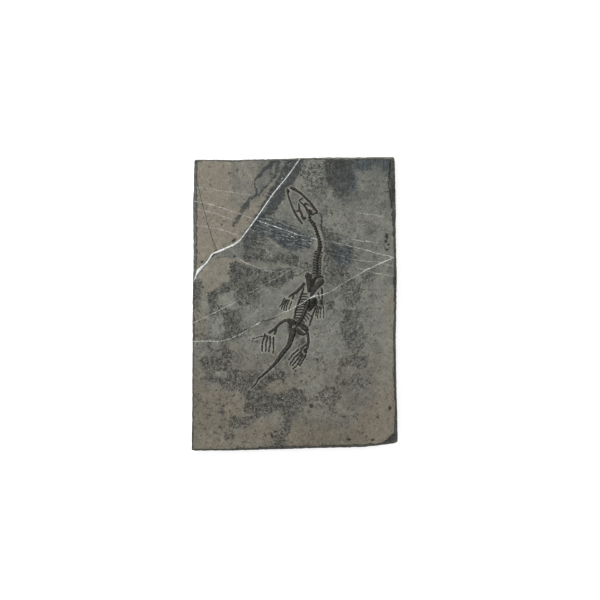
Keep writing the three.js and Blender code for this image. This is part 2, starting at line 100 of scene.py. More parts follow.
# How wide the broken rim of each side is, at places along it
RIM_TOP = ([-85, -20, 60, 88], [1.7, 1.7, 2.4, 3.0])
RIM_BOTTOM = ([-88, -60, -45, 55, 74, 84], [1.4, 1.5, 2.4, 2.6, 2.4, 7.0])
RIM_RIGHT = (
    [-125, -117, -109, -100, -50, 50, 70, 88, 106, 120, 125],
    [7.5, 6.0, 3.6, 2.4, 2.0, 2.2, 2.9, 4.6, 6.0, 5.0, 4.0],
)
RIM_LEFT = ([-125, -20, 20, 45, 100, 125], [1.4, 1.6, 2.4, 3.4, 3.7, 2.8])

# Flakes struck off the upper edge: x, y, radius along X, radius along Y, depth
FLAKES = [
    (-47.5, 123.3, 7.0, 2.4, 2.6), (46.0, 125.6, 10.0, 3.0, 3.4), (-86.6, 101.0, 3.0, 9.0, 4.2),
    (-87.0, 68.0, 3.2, 7.0, 4.4), (-87.6, -6.0, 2.6, 9.0, 3.6), (85.6, 92.0, 4.6, 12.0, 5.2),
    (87.0, 19.0, 2.8, 8.0, 3.4), (86.8, -58.0, 3.0, 10.0, 4.2), (86.6, -117.6, 8.5, 8.0, 5.0),
    (-20.0, -124.8, 13.0, 3.0, 3.8), (40.0, -122.6, 9.0, 2.6, 3.2),
]

# Small pits in the face: x, y, radius along X, radius along Y, turn in degrees
PITS = [
    (-66.6, 44.2, 1.4, 2.0, -20), (-69.9, 40.6, 0.9, 1.0, 0), (-51.4, 53.9, 2.6, 1.0, 35),
    (-78.6, 35.6, 1.4, 0.9, 25), (-50.8, 40.3, 1.2, 0.9, 0), (-55.8, 25.8, 0.9, 0.8, 0),
    (-61.5, 67.4, 0.8, 0.8, 0), (78.6, 57.6, 1.2, 3.0, 8), (77.8, 53.2, 1.5, 1.4, 0),
    (80.2, 50.6, 1.1, 1.2, 0), (78.9, 46.0, 1.4, 1.0, 0), (46.3, -115.4, 2.2, 1.0, -5),
    (66.6, -115.6, 1.7, 0.9, 10), (81.2, -88.7, 1.2, 2.2, 0), (-19.0, -112.0, 1.0, 3.2, 24),
    (-16.0, -108.6, 1.6, 0.8, 20),
]

# The thick calcite vein, which stands a little proud: x, y, width
MAIN_VEIN = [
    (5.1, 124.2, 0.6), (-5.1, 109.6, 0.7), (-18.8, 92.5, 0.8), (-32.5, 72.8, 0.8), (-39.3, 63.4, 0.9),
    (-46.1, 54.7, 1.2), (-50.6, 50.9, 1.8), (-55.8, 48.4, 1.7), (-63.2, 45.2, 1.6), (-69.4, 42.6, 1.2),
    (-71.8, 39.2, 1.1), (-74.9, 34.9, 1.4), (-78.8, 31.2, 2.0), (-81.6, 27.9, 2.3), (-83.9, 23.2, 1.2),
    (-85.4, 19.6, 0.9),
]

# The slab's markings are drawn on a sketch grid: its squares are 0.85 mm, counted right and down from its
# corner
SQUARE = 0.85
SKETCH_MIDDLE = (294.5, 304.0)

# How far noise pushes the patches of colour about, and that noise's size
PATCH_SHIFT = 3.0
PATCH_SHIFT_SIZE = 8.0

# The thin veins, flush with the face: x and y on the sketch, width in millimetres, strength
THIN_VEINS = {
    "vein_long": [
        (394, 257.5, 0.6, 0.8), (367, 269.5, 0.6, 0.8), (345, 282.5, 0.5, 0.5), (329, 292.5, 0.5, 0.5),
        (321, 295.0, 0.5, 0.6), (315.5, 296.0, 0.9, 0.95), (309, 298.5, 0.6, 0.95),
        (300.5, 304.0, 0.45, 0.9), (289, 310.0, 0.4, 0.8), (282.5, 312.5, 0.35, 0.5),
        (276, 316.0, 0.3, 0.1), (262, 320.5, 0.3, 0.1), (258, 323.5, 1.6, 1.0), (252.5, 327.0, 0.5, 0.6),
        (245, 331.4, 0.3, 0.35), (240, 334.6, 0.9, 0.8), (226, 340.0, 0.5, 0.5), (217.5, 341.5, 0.5, 0.5),
        (206, 341.0, 0.5, 0.6), (193, 341.5, 0.6, 0.65),
    ],
    "vein_faint_left": [
        (193, 323, 0.5, 0.5), (210, 315, 0.5, 0.5), (227.5, 306, 0.5, 0.4), (232.5, 304, 0.4, 0.35),
        (241, 299, 0.3, 0.1), (250, 293, 0.4, 0.35), (265, 284, 0.4, 0.3), (275, 279, 0.4, 0.3),
        (295, 267.5, 0.3, 0.25),
    ],
    "vein_beaded": [
        (194, 201, 0.5, 0.3), (210, 204, 0.5, 0.35), (226, 209, 0.6, 0.6), (240, 214, 0.5, 0.4),
        (256, 219.5, 0.4, 0.3), (262, 222, 0.6, 0.75), (277.5, 227.5, 0.7, 0.85), (285, 229.5, 0.5, 0.5),
        (296, 234, 0.6, 0.55), (305, 236, 0.5, 0.45), (316, 239, 0.5, 0.5), (330, 241.5, 0.4, 0.2),
        (350, 246, 0.5, 0.45), (364, 249.5, 0.6, 0.65), (376, 253, 0.6, 0.6), (394, 257.5, 0.7, 0.8),
    ],
    "vein_top_left": [
        (197, 187, 0.5, 0.4), (215, 189.5, 0.5, 0.35), (234, 192.5, 0.5, 0.3), (250, 195, 0.4, 0.35),
    ],
    "vein_mid_left": [
        (197, 209, 0.5, 0.35), (216, 213.5, 0.5, 0.35), (230, 219, 0.4, 0.25), (240, 223, 0.4, 0.15),
    ],
    "vein_low_left": [
        (196, 225, 0.5, 0.3), (217, 228.5, 0.5, 0.3), (226, 231, 0.6, 0.4), (240, 236, 0.5, 0.3),
    ],
    "vein_right_low": [(352, 239.5, 0.5, 0.55), (362, 241, 0.5, 0.5), (377.5, 242.5, 0.4, 0.35)],
    "vein_right_bottom": [
        (356, 267.5, 0.4, 0.3), (368, 271, 0.5, 0.4), (378, 273.5, 0.5, 0.55), (393, 276, 0.5, 0.5),
    ],
    "vein_slanting": [
        (349, 259, 0.5, 0.45), (362, 261, 0.5, 0.4), (378, 262, 0.5, 0.35), (392, 266, 0.4, 0.4),
    ],
    "vein_wedge": [
        (236, 258, 0.5, 0.25), (252, 265.5, 0.6, 0.4), (265, 270.5, 0.5, 0.4), (277, 272, 0.4, 0.35),
        (286, 270.5, 0.3, 0.2),
    ],
    "vein_right_high": [(346, 209.5, 0.4, 0.15), (359, 213, 0.5, 0.4), (383, 216.5, 0.4, 0.3)],
    "vein_hip": [(297, 326, 0.4, 0.35), (300.5, 329, 0.5, 0.5), (304.5, 332.4, 0.9, 0.7)],
    "vein_hip_left": [(291.5, 325, 0.4, 0.3), (293.2, 327.6, 0.5, 0.5), (295.2, 325.4, 0.4, 0.4)],
}

# The thin dark cracks: x and y on the sketch, width in millimetres, strength
CRACKS = {
    "crack_left": [
        (197.5, 181, 0.5, 0.9), (201, 198, 0.5, 0.95), (208, 225, 0.6, 1.0), (213, 240, 0.6, 1.0),
        (216.5, 249, 0.8, 1.0),
    ],
    "crack_neck": [
        (317, 214.0, 0.8, 0.8), (319.5, 213.0, 1.0, 1.0), (321.7, 216.0, 1.2, 1.0),
        (321.3, 225.0, 1.8, 1.0), (322.0, 230.0, 2.4, 1.0), (324.5, 235.0, 1.4, 0.9),
        (325.5, 240.0, 2.0, 0.8),
    ],
    "crack_along_vein": [
        (284, 312.6, 0.5, 0.4), (278, 316.2, 0.8, 0.8), (271.8, 319.2, 1.5, 1.0), (267.8, 320.3, 1.5, 1.0),
        (262.7, 321.0, 0.9, 0.9), (258.7, 322.2, 0.5, 0.5), (253, 327.0, 0.5, 0.5),
        (246.5, 329.4, 1.1, 0.9), (240, 332.0, 1.4, 0.9), (236.5, 333.4, 0.8, 0.5),
    ],
    "crack_under_vein": [
        (253, 220, 0.4, 0.4), (243, 234.5, 0.6, 0.5), (238, 241.5, 0.8, 0.9), (232, 246.5, 0.6, 0.9),
        (222, 250.5, 0.5, 0.7), (216.5, 252, 1.4, 1.0), (207, 261, 0.7, 0.9), (202, 266.5, 0.7, 0.9),
        (196.5, 276, 0.6, 0.7),
    ],
    "crack_arc": [
        (212, 261, 0.4, 0.4), (217, 258, 0.6, 0.8), (225, 256.5, 0.7, 0.9), (233, 257.5, 0.5, 0.7),
        (238, 259.5, 0.4, 0.3),
    ],
    "crack_high": [
        (318, 205.5, 0.4, 0.5), (332, 207, 0.4, 0.6), (347, 210.5, 0.4, 0.6), (362, 213, 0.3, 0.2),
    ],
    "crack_mid": [(330, 232.5, 0.5, 0.6), (341, 235, 0.5, 0.7), (352, 239, 0.4, 0.4)],
}

# Patches of colour on the sketch. An area is a strength, the softness of its edge in squares, and its
# outline.
WARM_AREAS = [
    (1.0, 2.5, [
        (190, 150), (231, 155), (232, 190), (238, 206), (249, 208), (262, 198), (272, 182), (280, 168),
        (284, 172), (262, 204), (248, 228), (236, 246), (216, 256), (198, 272), (190, 276),
    ]),
    (0.35, 4.0, [(230, 155), (262, 155), (256, 190), (240, 206), (232, 196)]),
    (0.8, 1.6, [
        (200, 266), (214, 260), (231, 257), (241, 259), (253, 265), (246, 267), (236, 263), (232, 264),
        (231, 274), (226, 282), (216, 289), (208, 293), (202, 290), (199, 278),
    ]),
    (0.6, 1.5, [
        (283, 309), (296, 304), (300, 307), (295, 318), (289, 319), (281, 322), (274, 322), (279, 314),
    ]),
    (0.7, 4.0, [(386, 296), (400, 280), (400, 380), (384, 384), (381, 350)]),
    (0.9, 5.0, [(372, 402), (384, 386), (400, 372), (400, 455), (362, 448), (366, 420)]),
]
BROWN_AREAS = [
    (0.5, 9.0, [(180, 352), (300, 366), (410, 340), (410, 470), (180, 470)]),
    (0.55, 3.0, [(190, 296), (200, 300), (206, 312), (206, 338), (190, 338)]),
    (0.9, 3.5, [
        (188, 384), (206, 388), (226, 392), (243, 394), (244, 412), (228, 428), (250, 430), (252, 420),
        (270, 418), (280, 432), (270, 450), (188, 452),
    ]),
    (0.9, 1.8, [(266, 383), (275, 380), (286, 383), (286, 392), (276, 397), (268, 391)]),
    (0.45, 1.8, [(302, 386), (312, 381), (324, 382), (318, 394), (312, 400), (303, 396)]),
    (1.0, 5.0, [
        (290, 420), (312, 424), (350, 428), (362, 410), (374, 394), (378, 420), (372, 455), (284, 455),
    ]),
    (0.5, 3.0, [(270, 352), (282, 345), (288, 342), (286, 354), (274, 368), (258, 376)]),
    (0.4, 6.0, [(210, 340), (240, 342), (262, 356), (256, 366), (232, 360), (208, 352)]),
]
OLIVE_AREAS = [
    (0.55, 6.0, [(296, 418), (350, 424), (366, 432), (366, 455), (296, 455)]),
    (0.3, 5.0, [(190, 395), (226, 395), (226, 430), (190, 430)]),
]
SLATE_AREAS = [
    (0.95, 4.0, [
        (325, 152), (355, 152), (358, 172), (355, 190), (345, 192), (334, 190), (327, 184), (324, 172),
    ]),
    (0.6, 4.0, [(330, 184), (354, 180), (357, 194), (349, 204), (338, 204), (332, 194)]),
    (1.0, 4.0, [(350, 150), (402, 150), (402, 180), (388, 178), (380, 166), (362, 172), (354, 170)]),
    (0.25, 6.0, [(354, 170), (388, 172), (388, 214), (362, 208), (352, 196)]),
    (0.75, 2.0, [
        (256, 220), (268, 218), (290, 227), (314, 237), (312, 250), (296, 252), (284, 247), (272, 240),
        (256, 236),
    ]),
    (0.65, 1.8, [(244, 234), (252, 229), (260, 236), (254, 243), (249, 252), (246, 260), (243, 252)]),
    (0.8, 3.0, [(330, 245), (340, 242), (351, 248), (353, 258), (347, 268), (337, 266), (329, 256)]),
    (0.35, 2.0, [(284, 246), (297, 250), (300, 262), (292, 268), (280, 262), (272, 262), (276, 254)]),
    (0.3, 5.0, [(352, 372), (366, 368), (374, 380), (364, 398), (350, 406), (344, 394)]),
    (0.45, 5.0, [(300, 206), (316, 214), (318, 230), (308, 238), (296, 228)]),
]
MOTTLED_AREAS = [
    (0.95, 2.0, [
        (325, 157), (351, 157), (355, 174), (350, 182), (340, 183), (333, 190), (327, 181), (324, 170),
    ]),
    (0.7, 2.5, [(330, 184), (350, 184), (353, 195), (342, 200), (331, 196)]),
    (0.18, 9.0, [(185, 350), (260, 346), (300, 366), (332, 380), (340, 455), (185, 455)]),
    (0.16, 8.0, [(185, 278), (215, 296), (262, 300), (262, 345), (185, 345)]),
    (0.14, 8.0, [(332, 262), (380, 268), (380, 420), (330, 440), (326, 350)]),
    (0.75, 2.0, [
        (243, 232), (262, 236), (284, 250), (302, 256), (298, 266), (280, 262), (262, 263), (245, 262),
    ]),
    (0.2, 4.0, [(318, 206), (344, 206), (380, 222), (380, 250), (340, 240), (322, 232)]),
    (1.2, 1.6, [
        (231, 262), (240, 263), (252, 269), (266, 273), (275, 269), (290, 266), (293, 274), (288, 281),
        (279, 288), (270, 285), (262, 284), (256, 291), (249, 296), (243, 292), (237, 290), (229, 292),
        (221, 297), (217, 306), (218, 312), (214, 324), (211, 312), (209, 302), (209, 293), (216, 289),
        (227, 281), (230, 274),
    ]),
    (1.2, 1.6, [
        (221, 308), (230, 307), (238, 312), (242, 320), (239, 328), (243, 334), (237, 339), (227, 339),
        (224, 332), (225, 322),
    ]),
    (0.95, 1.8, [
        (236, 291), (247, 288), (256, 292), (261, 300), (261, 308), (252, 312), (247, 304), (240, 307),
        (236, 303),
    ]),
    (1.0, 1.6, [(213, 305), (222, 306), (231, 309), (222, 314), (214, 318), (211, 312)]),
    (0.85, 2.0, [(190, 280), (200, 280), (203, 292), (201, 306), (190, 308)]),
    (1.2, 2.0, [
        (202, 357), (213, 355), (221, 361), (226, 352), (232, 356), (232, 368), (244, 369), (256, 371),
        (264, 374), (277, 369), (286, 373), (284, 380), (266, 382), (262, 389), (272, 397), (284, 391),
        (296, 387), (310, 391), (312, 401), (300, 410), (294, 421), (290, 431), (283, 448), (271, 446),
        (277, 433), (284, 424), (282, 412), (276, 410), (268, 416), (251, 418), (246, 408), (244, 396),
        (238, 390), (226, 389), (217, 384), (206, 378), (202, 368),
    ]),
    (0.9, 1.6, [(227, 416), (240, 415), (250, 417), (249, 425), (238, 428), (229, 427)]),
    (1.1, 1.4, [(217, 407), (224, 405), (225, 414), (218, 416)]),
    (0.7, 1.4, [(223, 431), (232, 429), (234, 438), (226, 441)]),
    (0.7, 1.6, [(361, 274), (372, 274), (373, 282), (362, 283)]),
    (0.9, 1.6, [(340, 362), (350, 355), (366, 357), (368, 366), (356, 368), (344, 368)]),
    (0.75, 1.6, [(326, 391), (336, 387), (344, 379), (350, 384), (341, 392), (338, 404), (330, 404)]),
    (0.6, 1.6, [(318, 392), (328, 388), (333, 396), (328, 404), (320, 402)]),
    (0.6, 2.0, [(352, 374), (362, 376), (368, 386), (358, 390), (350, 384)]),
    (0.5, 2.5, [(330, 415), (326, 404), (336, 402), (340, 412)]),
    (0.7, 2.0, [(337, 283), (350, 277), (359, 284), (361, 299), (354, 308), (343, 301)]),
    (0.6, 1.8, [(323, 266), (336, 262), (348, 268), (350, 279), (343, 288), (332, 283), (324, 285)]),
    (0.8, 2.0, [(338, 311), (350, 309), (360, 312), (359, 320), (344, 321)]),
    (0.8, 1.6, [(327, 300), (335, 301), (335, 310), (328, 310)]),
    (0.7, 2.0, [
        (340, 323), (352, 319), (362, 323), (366, 336), (363, 350), (352, 352), (343, 346), (338, 334),
    ]),
    (0.5, 2.5, [(302, 162), (325, 162), (325, 200), (318, 204), (306, 190), (300, 178)]),
    (0.7, 2.0, [(320, 226), (334, 228), (334, 264), (328, 276), (323, 262), (324, 244)]),
    (0.7, 1.8, [(286, 267), (294, 265), (296, 276), (290, 283), (285, 276)]),
    (0.6, 1.8, [(300, 262), (308, 262), (312, 270), (304, 276), (298, 270)]),
    (0.8, 1.4, [(296, 337), (304, 336), (306, 343), (302, 349), (297, 346)]),
    (0.7, 1.4, [(284, 357), (291, 354), (292, 362), (287, 367)]),
    (0.5, 1.8, [(311, 350), (322, 352), (330, 364), (324, 376), (316, 366)]),
    (0.45, 2.0, [(332, 286), (342, 284), (343, 296), (335, 298)]),
]
PALE_AREAS = [
    (1.0, 1.2, [(221, 293), (229, 291), (236, 293), (236, 301), (229, 305), (222, 302)]),
    (0.8, 1.6, [(214, 318), (219, 314), (224, 320), (225, 332), (218, 338), (212, 332)]),
    (1.0, 1.0, [(214, 373), (219, 371), (226, 371), (226, 378), (218, 380), (214, 377)]),
    (0.7, 2.0, [(262, 244), (274, 240), (282, 248), (278, 257), (266, 259)]),
    (0.45, 4.0, [(360, 232), (384, 236), (388, 262), (366, 262)]),
    (0.7, 2.5, [(201, 290), (209, 296), (210, 312), (203, 320), (200, 304)]),
    (0.5, 5.0, [(250, 300), (286, 284), (290, 296), (268, 316), (244, 322)]),
    (0.3, 4.0, [(300, 340), (340, 330), (338, 352), (330, 376), (314, 380), (316, 356)]),
    (0.6, 3.0, [(297, 204), (306, 200), (310, 220), (304, 232), (294, 226)]),
    (1.0, 1.5, [
        (283, 309), (296, 304), (300, 307), (295, 318), (289, 319), (281, 322), (274, 322), (279, 314),
    ]),
    (0.8, 1.5, [(303, 387), (312, 382), (322, 383), (317, 393), (311, 398), (304, 395)]),
    (0.7, 4.0, [(382, 320), (400, 310), (400, 384), (382, 384)]),
    (0.5, 4.0, [(272, 326), (288, 324), (288, 344), (272, 350)]),
]
STAINED_AREAS = [
    (0.6, 0.6, [(319, 299), (325, 300), (325, 306), (320, 307), (317, 303)]),
    (0.85, 0.5, [(313, 281), (317, 277), (322, 278), (318, 285), (315, 290), (312, 289)]),
    (0.85, 0.6, [(308, 297), (316, 297), (318, 303), (314, 308), (308, 309), (303, 307)]),
    (0.85, 0.8, [(287, 320), (299, 319), (308, 327), (307, 334), (297, 336), (288, 331)]),
    (0.7, 0.6, [(310, 281), (314, 280), (314, 289), (312, 293), (310, 290)]),
    (0.6, 0.6, [(309, 204), (314, 206), (315, 214), (309, 215), (306, 208)]),
    (0.75, 0.6, [(302.5, 348.5), (306.5, 348), (307, 353), (303.5, 353.5)]),
    (0.75, 0.6, [
        (287.5, 324.5), (296, 323), (303, 327), (304, 333), (297, 337), (290, 336.5), (287.5, 331),
    ]),
    (0.45, 0.8, [(300, 336.5), (304.5, 336.5), (305, 343), (301, 345)]),
    (0.5, 0.8, [(311.5, 252), (321.5, 252), (321.5, 279), (311, 279)]),
]

# Strands of colour on the sketch: a strength, and x, y and half width along each, in squares
SLATE_STRANDS = [
    (1.0, [
        (304, 154, 5.0), (297, 165, 3.2), (289, 176, 2.6), (281, 188, 2.2), (273, 199, 1.8),
        (265, 210, 1.4),
    ]),
    (0.9, [
        (278, 162, 3.5), (268, 168, 2.4), (261, 173, 2.2), (257, 182, 1.5), (255, 190, 1.3),
        (256, 197, 1.4),
    ]),
    (0.8, [(279, 166, 2.0), (272, 178, 1.2), (266, 186, 1.2), (258, 197, 1.3)]),
    (0.8, [(257, 196, 1.8), (250, 202, 2.0), (245, 209, 2.4), (240, 216, 2.6), (235, 225, 1.6)]),
    (0.5, [(250, 202, 1.0), (243, 204, 0.8), (234, 203, 0.6)]),
    (0.9, [
        (293, 160, 5.0), (284, 172, 4.2), (277, 184, 3.4), (270, 196, 2.6), (263, 206, 1.8),
        (257, 215, 1.2),
    ]),
    (1.0, [
        (300, 162, 4.0), (292, 177, 6.0), (285, 188, 5.0), (278, 199, 4.6), (271, 208, 4.2),
        (262, 217, 3.0), (253, 228, 2.4),
    ]),
    (0.4, [(322, 214, 1.0), (322, 225, 1.2), (325, 235, 1.4)]),
]
MOTTLED_STRANDS = [
    (0.9, [(205, 338, 1.0), (213, 338, 1.2), (222, 339, 1.6), (228, 336, 1.4)]),
    (1.2, [(222, 340, 1.6), (224, 348, 1.4), (223, 358, 1.8)]),
    (1.0, [(209, 345, 1.2), (216, 350, 1.0), (222, 348, 1.2), (230, 352, 1.2), (234, 361, 1.4)]),
    (1.0, [
        (309, 405, 1.4), (316, 400, 1.2), (320, 394, 1.2), (327, 390, 1.8), (336, 386, 1.4),
        (338, 375, 0.9), (339, 365, 1.4), (346, 361, 2.0),
    ]),
    (0.8, [(346, 361, 2.0), (353, 356, 1.6), (358, 352, 1.2)]),
    (0.8, [(358, 336, 0.8), (366, 342, 0.8), (370, 346, 0.6)]),
    (0.7, [(357, 280, 0.8), (360, 292, 0.8), (358, 304, 0.8), (354, 312, 0.8)]),
    (0.7, [(243, 260, 1.2), (252, 262, 1.0), (262, 260, 1.0), (276, 262, 1.0)]),
    (0.6, [(194, 396, 1.0), (202, 402, 1.0), (212, 410, 0.8)]),
]
SHEARED_AREAS = [
    (1.0, 2.5, [
        (254, 214), (270, 216), (300, 228), (316, 238), (312, 250), (296, 252), (270, 238), (252, 232),
    ]),
    (0.7, 2.5, [(326, 236), (342, 237), (357, 247), (361, 261), (344, 267), (329, 257)]),
    (0.6, 3.0, [(282, 160), (298, 156), (280, 190), (266, 208), (262, 204), (272, 184)]),
    (0.45, 3.0, [(244, 232), (262, 234), (284, 248), (280, 262), (248, 262)]),
]
FLECKED_AREAS = [
    (1.0, 1.0, [(284, 170), (288, 163), (293, 163), (288, 170), (284, 175)]),
    (0.8, 1.2, [(262, 224), (280, 229), (297, 236), (298, 246), (284, 241), (266, 232)]),
    (0.7, 1.2, [(302, 233), (318, 236), (318, 247), (310, 248), (300, 239)]),
    (0.6, 1.0, [(264, 251), (270, 250), (272, 257), (266, 259)]),
]

# Cream-coloured spots inside the skull and the shoulder: x, y, radius along X, radius along Y, turn in
# degrees, strength, in millimetres on the slab
CREAM_SPOTS = [
    (8.7, 88.9, 0.8, 1.6, 40, 0.8), (12.1, 81.9, 1.2, 1.5, 50, 1.0), (14.5, 81.3, 0.8, 0.9, 0, 0.8),
    (16.3, 78.8, 0.5, 0.8, 0, 0.7), (3.8, 76.5, 0.8, 2.0, 20, 1.0), (4.8, 81.6, 0.5, 1.6, 10, 0.6),
    (10.6, 73.7, 0.9, 0.9, 0, 0.8), (-3.6, 97.4, 0.4, 1.6, 40, 0.7), (18.9, 20.0, 0.45, 1.1, -30, 1.0),
    (17.8, 17.6, 0.4, 0.7, -20, 0.9), (20.6, 21.2, 0.6, 0.35, 0, 0.8),
]

# How finely a bone's section and its path are drawn, and the size of the bumps on its skin
SECTION_POINTS = 12
BONE_STEP = 0.35
COLUMN_STEP = 0.22
BONE_BUMP_SIZE = 0.9

# Heights of the bones above the face, and how far they go below it
RELIEF_PLATE = 0.85
RELIEF_COLUMN = 1.2
RELIEF_LIMB = 1.15
RELIEF_JAW = 1.1
RELIEF_RIB = 0.85
RELIEF_DIGIT = 0.8
SUNK = 0.35

# How rough the skins of the rows of vertebrae and of the bars are, as shares of their size
NECK_ROUGHNESS = 0.2
BACKBONE_ROUGHNESS = 0.14
TAIL_ROUGHNESS = 0.16
BAR_ROUGHNESS = 0.14

# Bones of the skull: x, y, width at places along each
JAW_RIGHT = [
    (-3.7, 99.4, 1.5), (-1.4, 98.2, 2.4), (1.6, 96.6, 2.0), (6.2, 93.3, 1.6), (10.0, 89.5, 1.6),
    (13.8, 85.8, 1.6), (16.8, 81.6, 1.8), (19.7, 78.0, 1.4),
]
JAW_RIGHT_HOOK = [(19.4, 78.3, 1.1), (18.2, 77.4, 1.2), (17.2, 76.8, 0.9)]
JAW_LEFT = [
    (-6.3, 97.8, 1.6), (-5.7, 93.7, 1.4), (-4.4, 89.2, 1.3), (-2.5, 83.8, 1.4), (-0.3, 78.9, 1.6),
    (2.4, 74.0, 1.5), (5.0, 70.2, 1.3), (6.9, 68.0, 0.9),
]
JAW_LEFT_TIP = [(-6.2, 97.8, 1.4), (-5.2, 96.5, 1.2), (-4.2, 95.2, 1.0)]
PALATE_RIGHT = [
    [
        (3.9, 88.2, 0.8), (5.4, 86.4, 0.9), (7.4, 84.6, 1.2), (9.4, 82.2, 1.4), (10.8, 79.8, 2.0),
        (12.0, 77.8, 2.8), (13.4, 76.4, 2.0),
    ],
    [(12.8, 76.8, 1.6), (15.2, 75.9, 1.0), (17.0, 76.9, 1.0)],
    [(3.9, 88.2, 0.8), (5.3, 89.3, 0.9), (6.9, 90.1, 0.7)],
    [(7.4, 84.6, 0.8), (9.2, 84.9, 1.1), (11.0, 85.8, 0.8)],
    [(9.0, 86.6, 0.7), (10.2, 84.9, 0.9), (11.9, 84.2, 0.8)],
    [(11.6, 80.4, 0.7), (13.4, 79.4, 0.9), (14.6, 77.6, 1.0)],
]
PALATE_LEFT = [
    [
        (3.6, 85.8, 0.8), (4.0, 82.4, 1.3), (4.3, 79.8, 1.9), (6.0, 76.9, 1.6), (6.7, 73.9, 1.6),
        (8.2, 72.6, 1.8), (9.7, 73.9, 1.2),
    ],
    [(4.3, 79.7, 1.4), (2.9, 79.2, 1.1), (1.4, 78.9, 0.8)],
]

# The backbone from skull to tail tip: x, y, width, then its count of bones and how deeply it is pinched at
# their joints, as a share of its width
NECK = [
    (12.6, 75.2, 1.6), (13.5, 71.3, 2.1), (15.9, 68.2, 2.5), (17.9, 64.4, 2.2), (19.2, 60.0, 2.1),
    (20.6, 56.0, 2.4), (21.5, 51.6, 2.9), (21.6, 47.4, 3.1), (20.6, 43.2, 2.8), (19.5, 39.4, 2.6),
    (19.1, 33.0, 2.6), (19.0, 25.2, 2.8),
]
NECK_BONES = 23
NECK_PINCH = 0.62
NECK_TIGHTNESS = 1.2
NECK_RIBS_FROM = 14
NECK_RIB_START = 2.0
NECK_RIB_REACH = 3.6
NECK_SPUR_START = 0.2
NECK_SPUR_REACH = 0.8
NECK_RIB_SLANT = 0.4
NECK_RIB_WIDTHS = (1.1, 1.0)
SHOULDER_VERTEBRAE = [(14.9, 21.2, 1.4), (15.1, 18.0, 1.6), (15.0, 14.6, 1.5)]
SHOULDER_BONES = 4
SHOULDER_PINCH = 0.35
BACKBONE = [
    (12.4, 4.9, 2.4), (11.4, 0.8, 2.8), (9.9, -3.4, 2.9), (8.2, -7.2, 2.9), (7.0, -10.6, 2.8),
    (5.0, -13.9, 2.7), (2.7, -16.5, 2.5), (1.3, -19.0, 2.4),
]
BACKBONE_BONES = 14
BACKBONE_PINCH = 0.3
TAIL = [
    (0.2, -21.0, 3.4), (-1.3, -24.2, 4.5), (-2.4, -27.4, 4.8), (-3.4, -31.4, 4.4), (-4.9, -35.4, 3.9),
    (-7.8, -39.0, 3.6), (-10.9, -42.8, 3.7), (-13.3, -46.4, 3.1), (-16.4, -50.4, 2.6), (-20.2, -54.3, 2.2),
    (-24.4, -58.3, 1.8), (-28.3, -61.7, 1.6), (-31.2, -64.2, 1.3), (-32.4, -67.0, 1.1),
    (-35.0, -70.0, 1.0), (-37.3, -72.4, 0.7),
]
TAIL_BONES = 38
TAIL_PINCH = 0.18
TAIL_DEPTH_POWER = 2.5

# Ribs: where each leaves the backbone and where it turns back at the flank
LEFT_RIB_HEADS = [
    (11.2, 8.4), (11.0, 6.1), (11.6, 3.9), (11.2, 1.7), (10.6, -0.4), (9.8, -2.6), (8.8, -5.0),
    (7.8, -7.3), (6.8, -9.7), (5.2, -12.2),
]
LEFT_FLANK = [
    (8.1, 14.3), (7.0, 11.4), (5.7, 8.2), (4.8, 6.0), (4.0, 3.6), (3.3, 1.4), (2.6, -0.7), (1.8, -2.9),
    (0.9, -5.2), (0.5, -7.4), (0.2, -9.8), (-0.4, -12.2),
]
RIGHT_RIB_HEADS = [(8.8, -6.6), (8.2, -8.2), (7.2, -10.8), (5.4, -13.0)]
RIGHT_RIB_TIPS = [(14.8, -11.2), (12.3, -13.3), (10.4, -15.0), (8.6, -16.2)]
RIGHT_FLANK = [
    (18.9, 4.6), (18.8, 2.6), (18.6, 0.6), (18.0, -2.4), (17.1, -5.0), (16.2, -7.3), (15.3, -9.5),
    (14.8, -11.6), (13.8, -14.2), (12.5, -18.4),
]
RIB_WIDTH = 0.85
RIB_TIP_SHARE = 0.8
RIB_ARCH = 0.5
FLANK_START_WIDTH = 0.7
FLANK_WIDTH = 1.25
BELLY_MIDLINE = [(16.6, 4.2, 1.4), (15.5, 1.0, 2.8), (14.4, -2.2, 3.0), (13.2, -5.6, 1.6)]
BELLY_MIDLINE_HEIGHT = 0.55
BELLY_ROWS = 9
BELLY_ROW_NARROWING = 0.35
BELLY_ROW_END_SHARE = 0.7
BELLY_ROW_HALF = 2.7
BELLY_ROW_RISE = 0.55
BELLY_ROW_WIDTH = 0.7

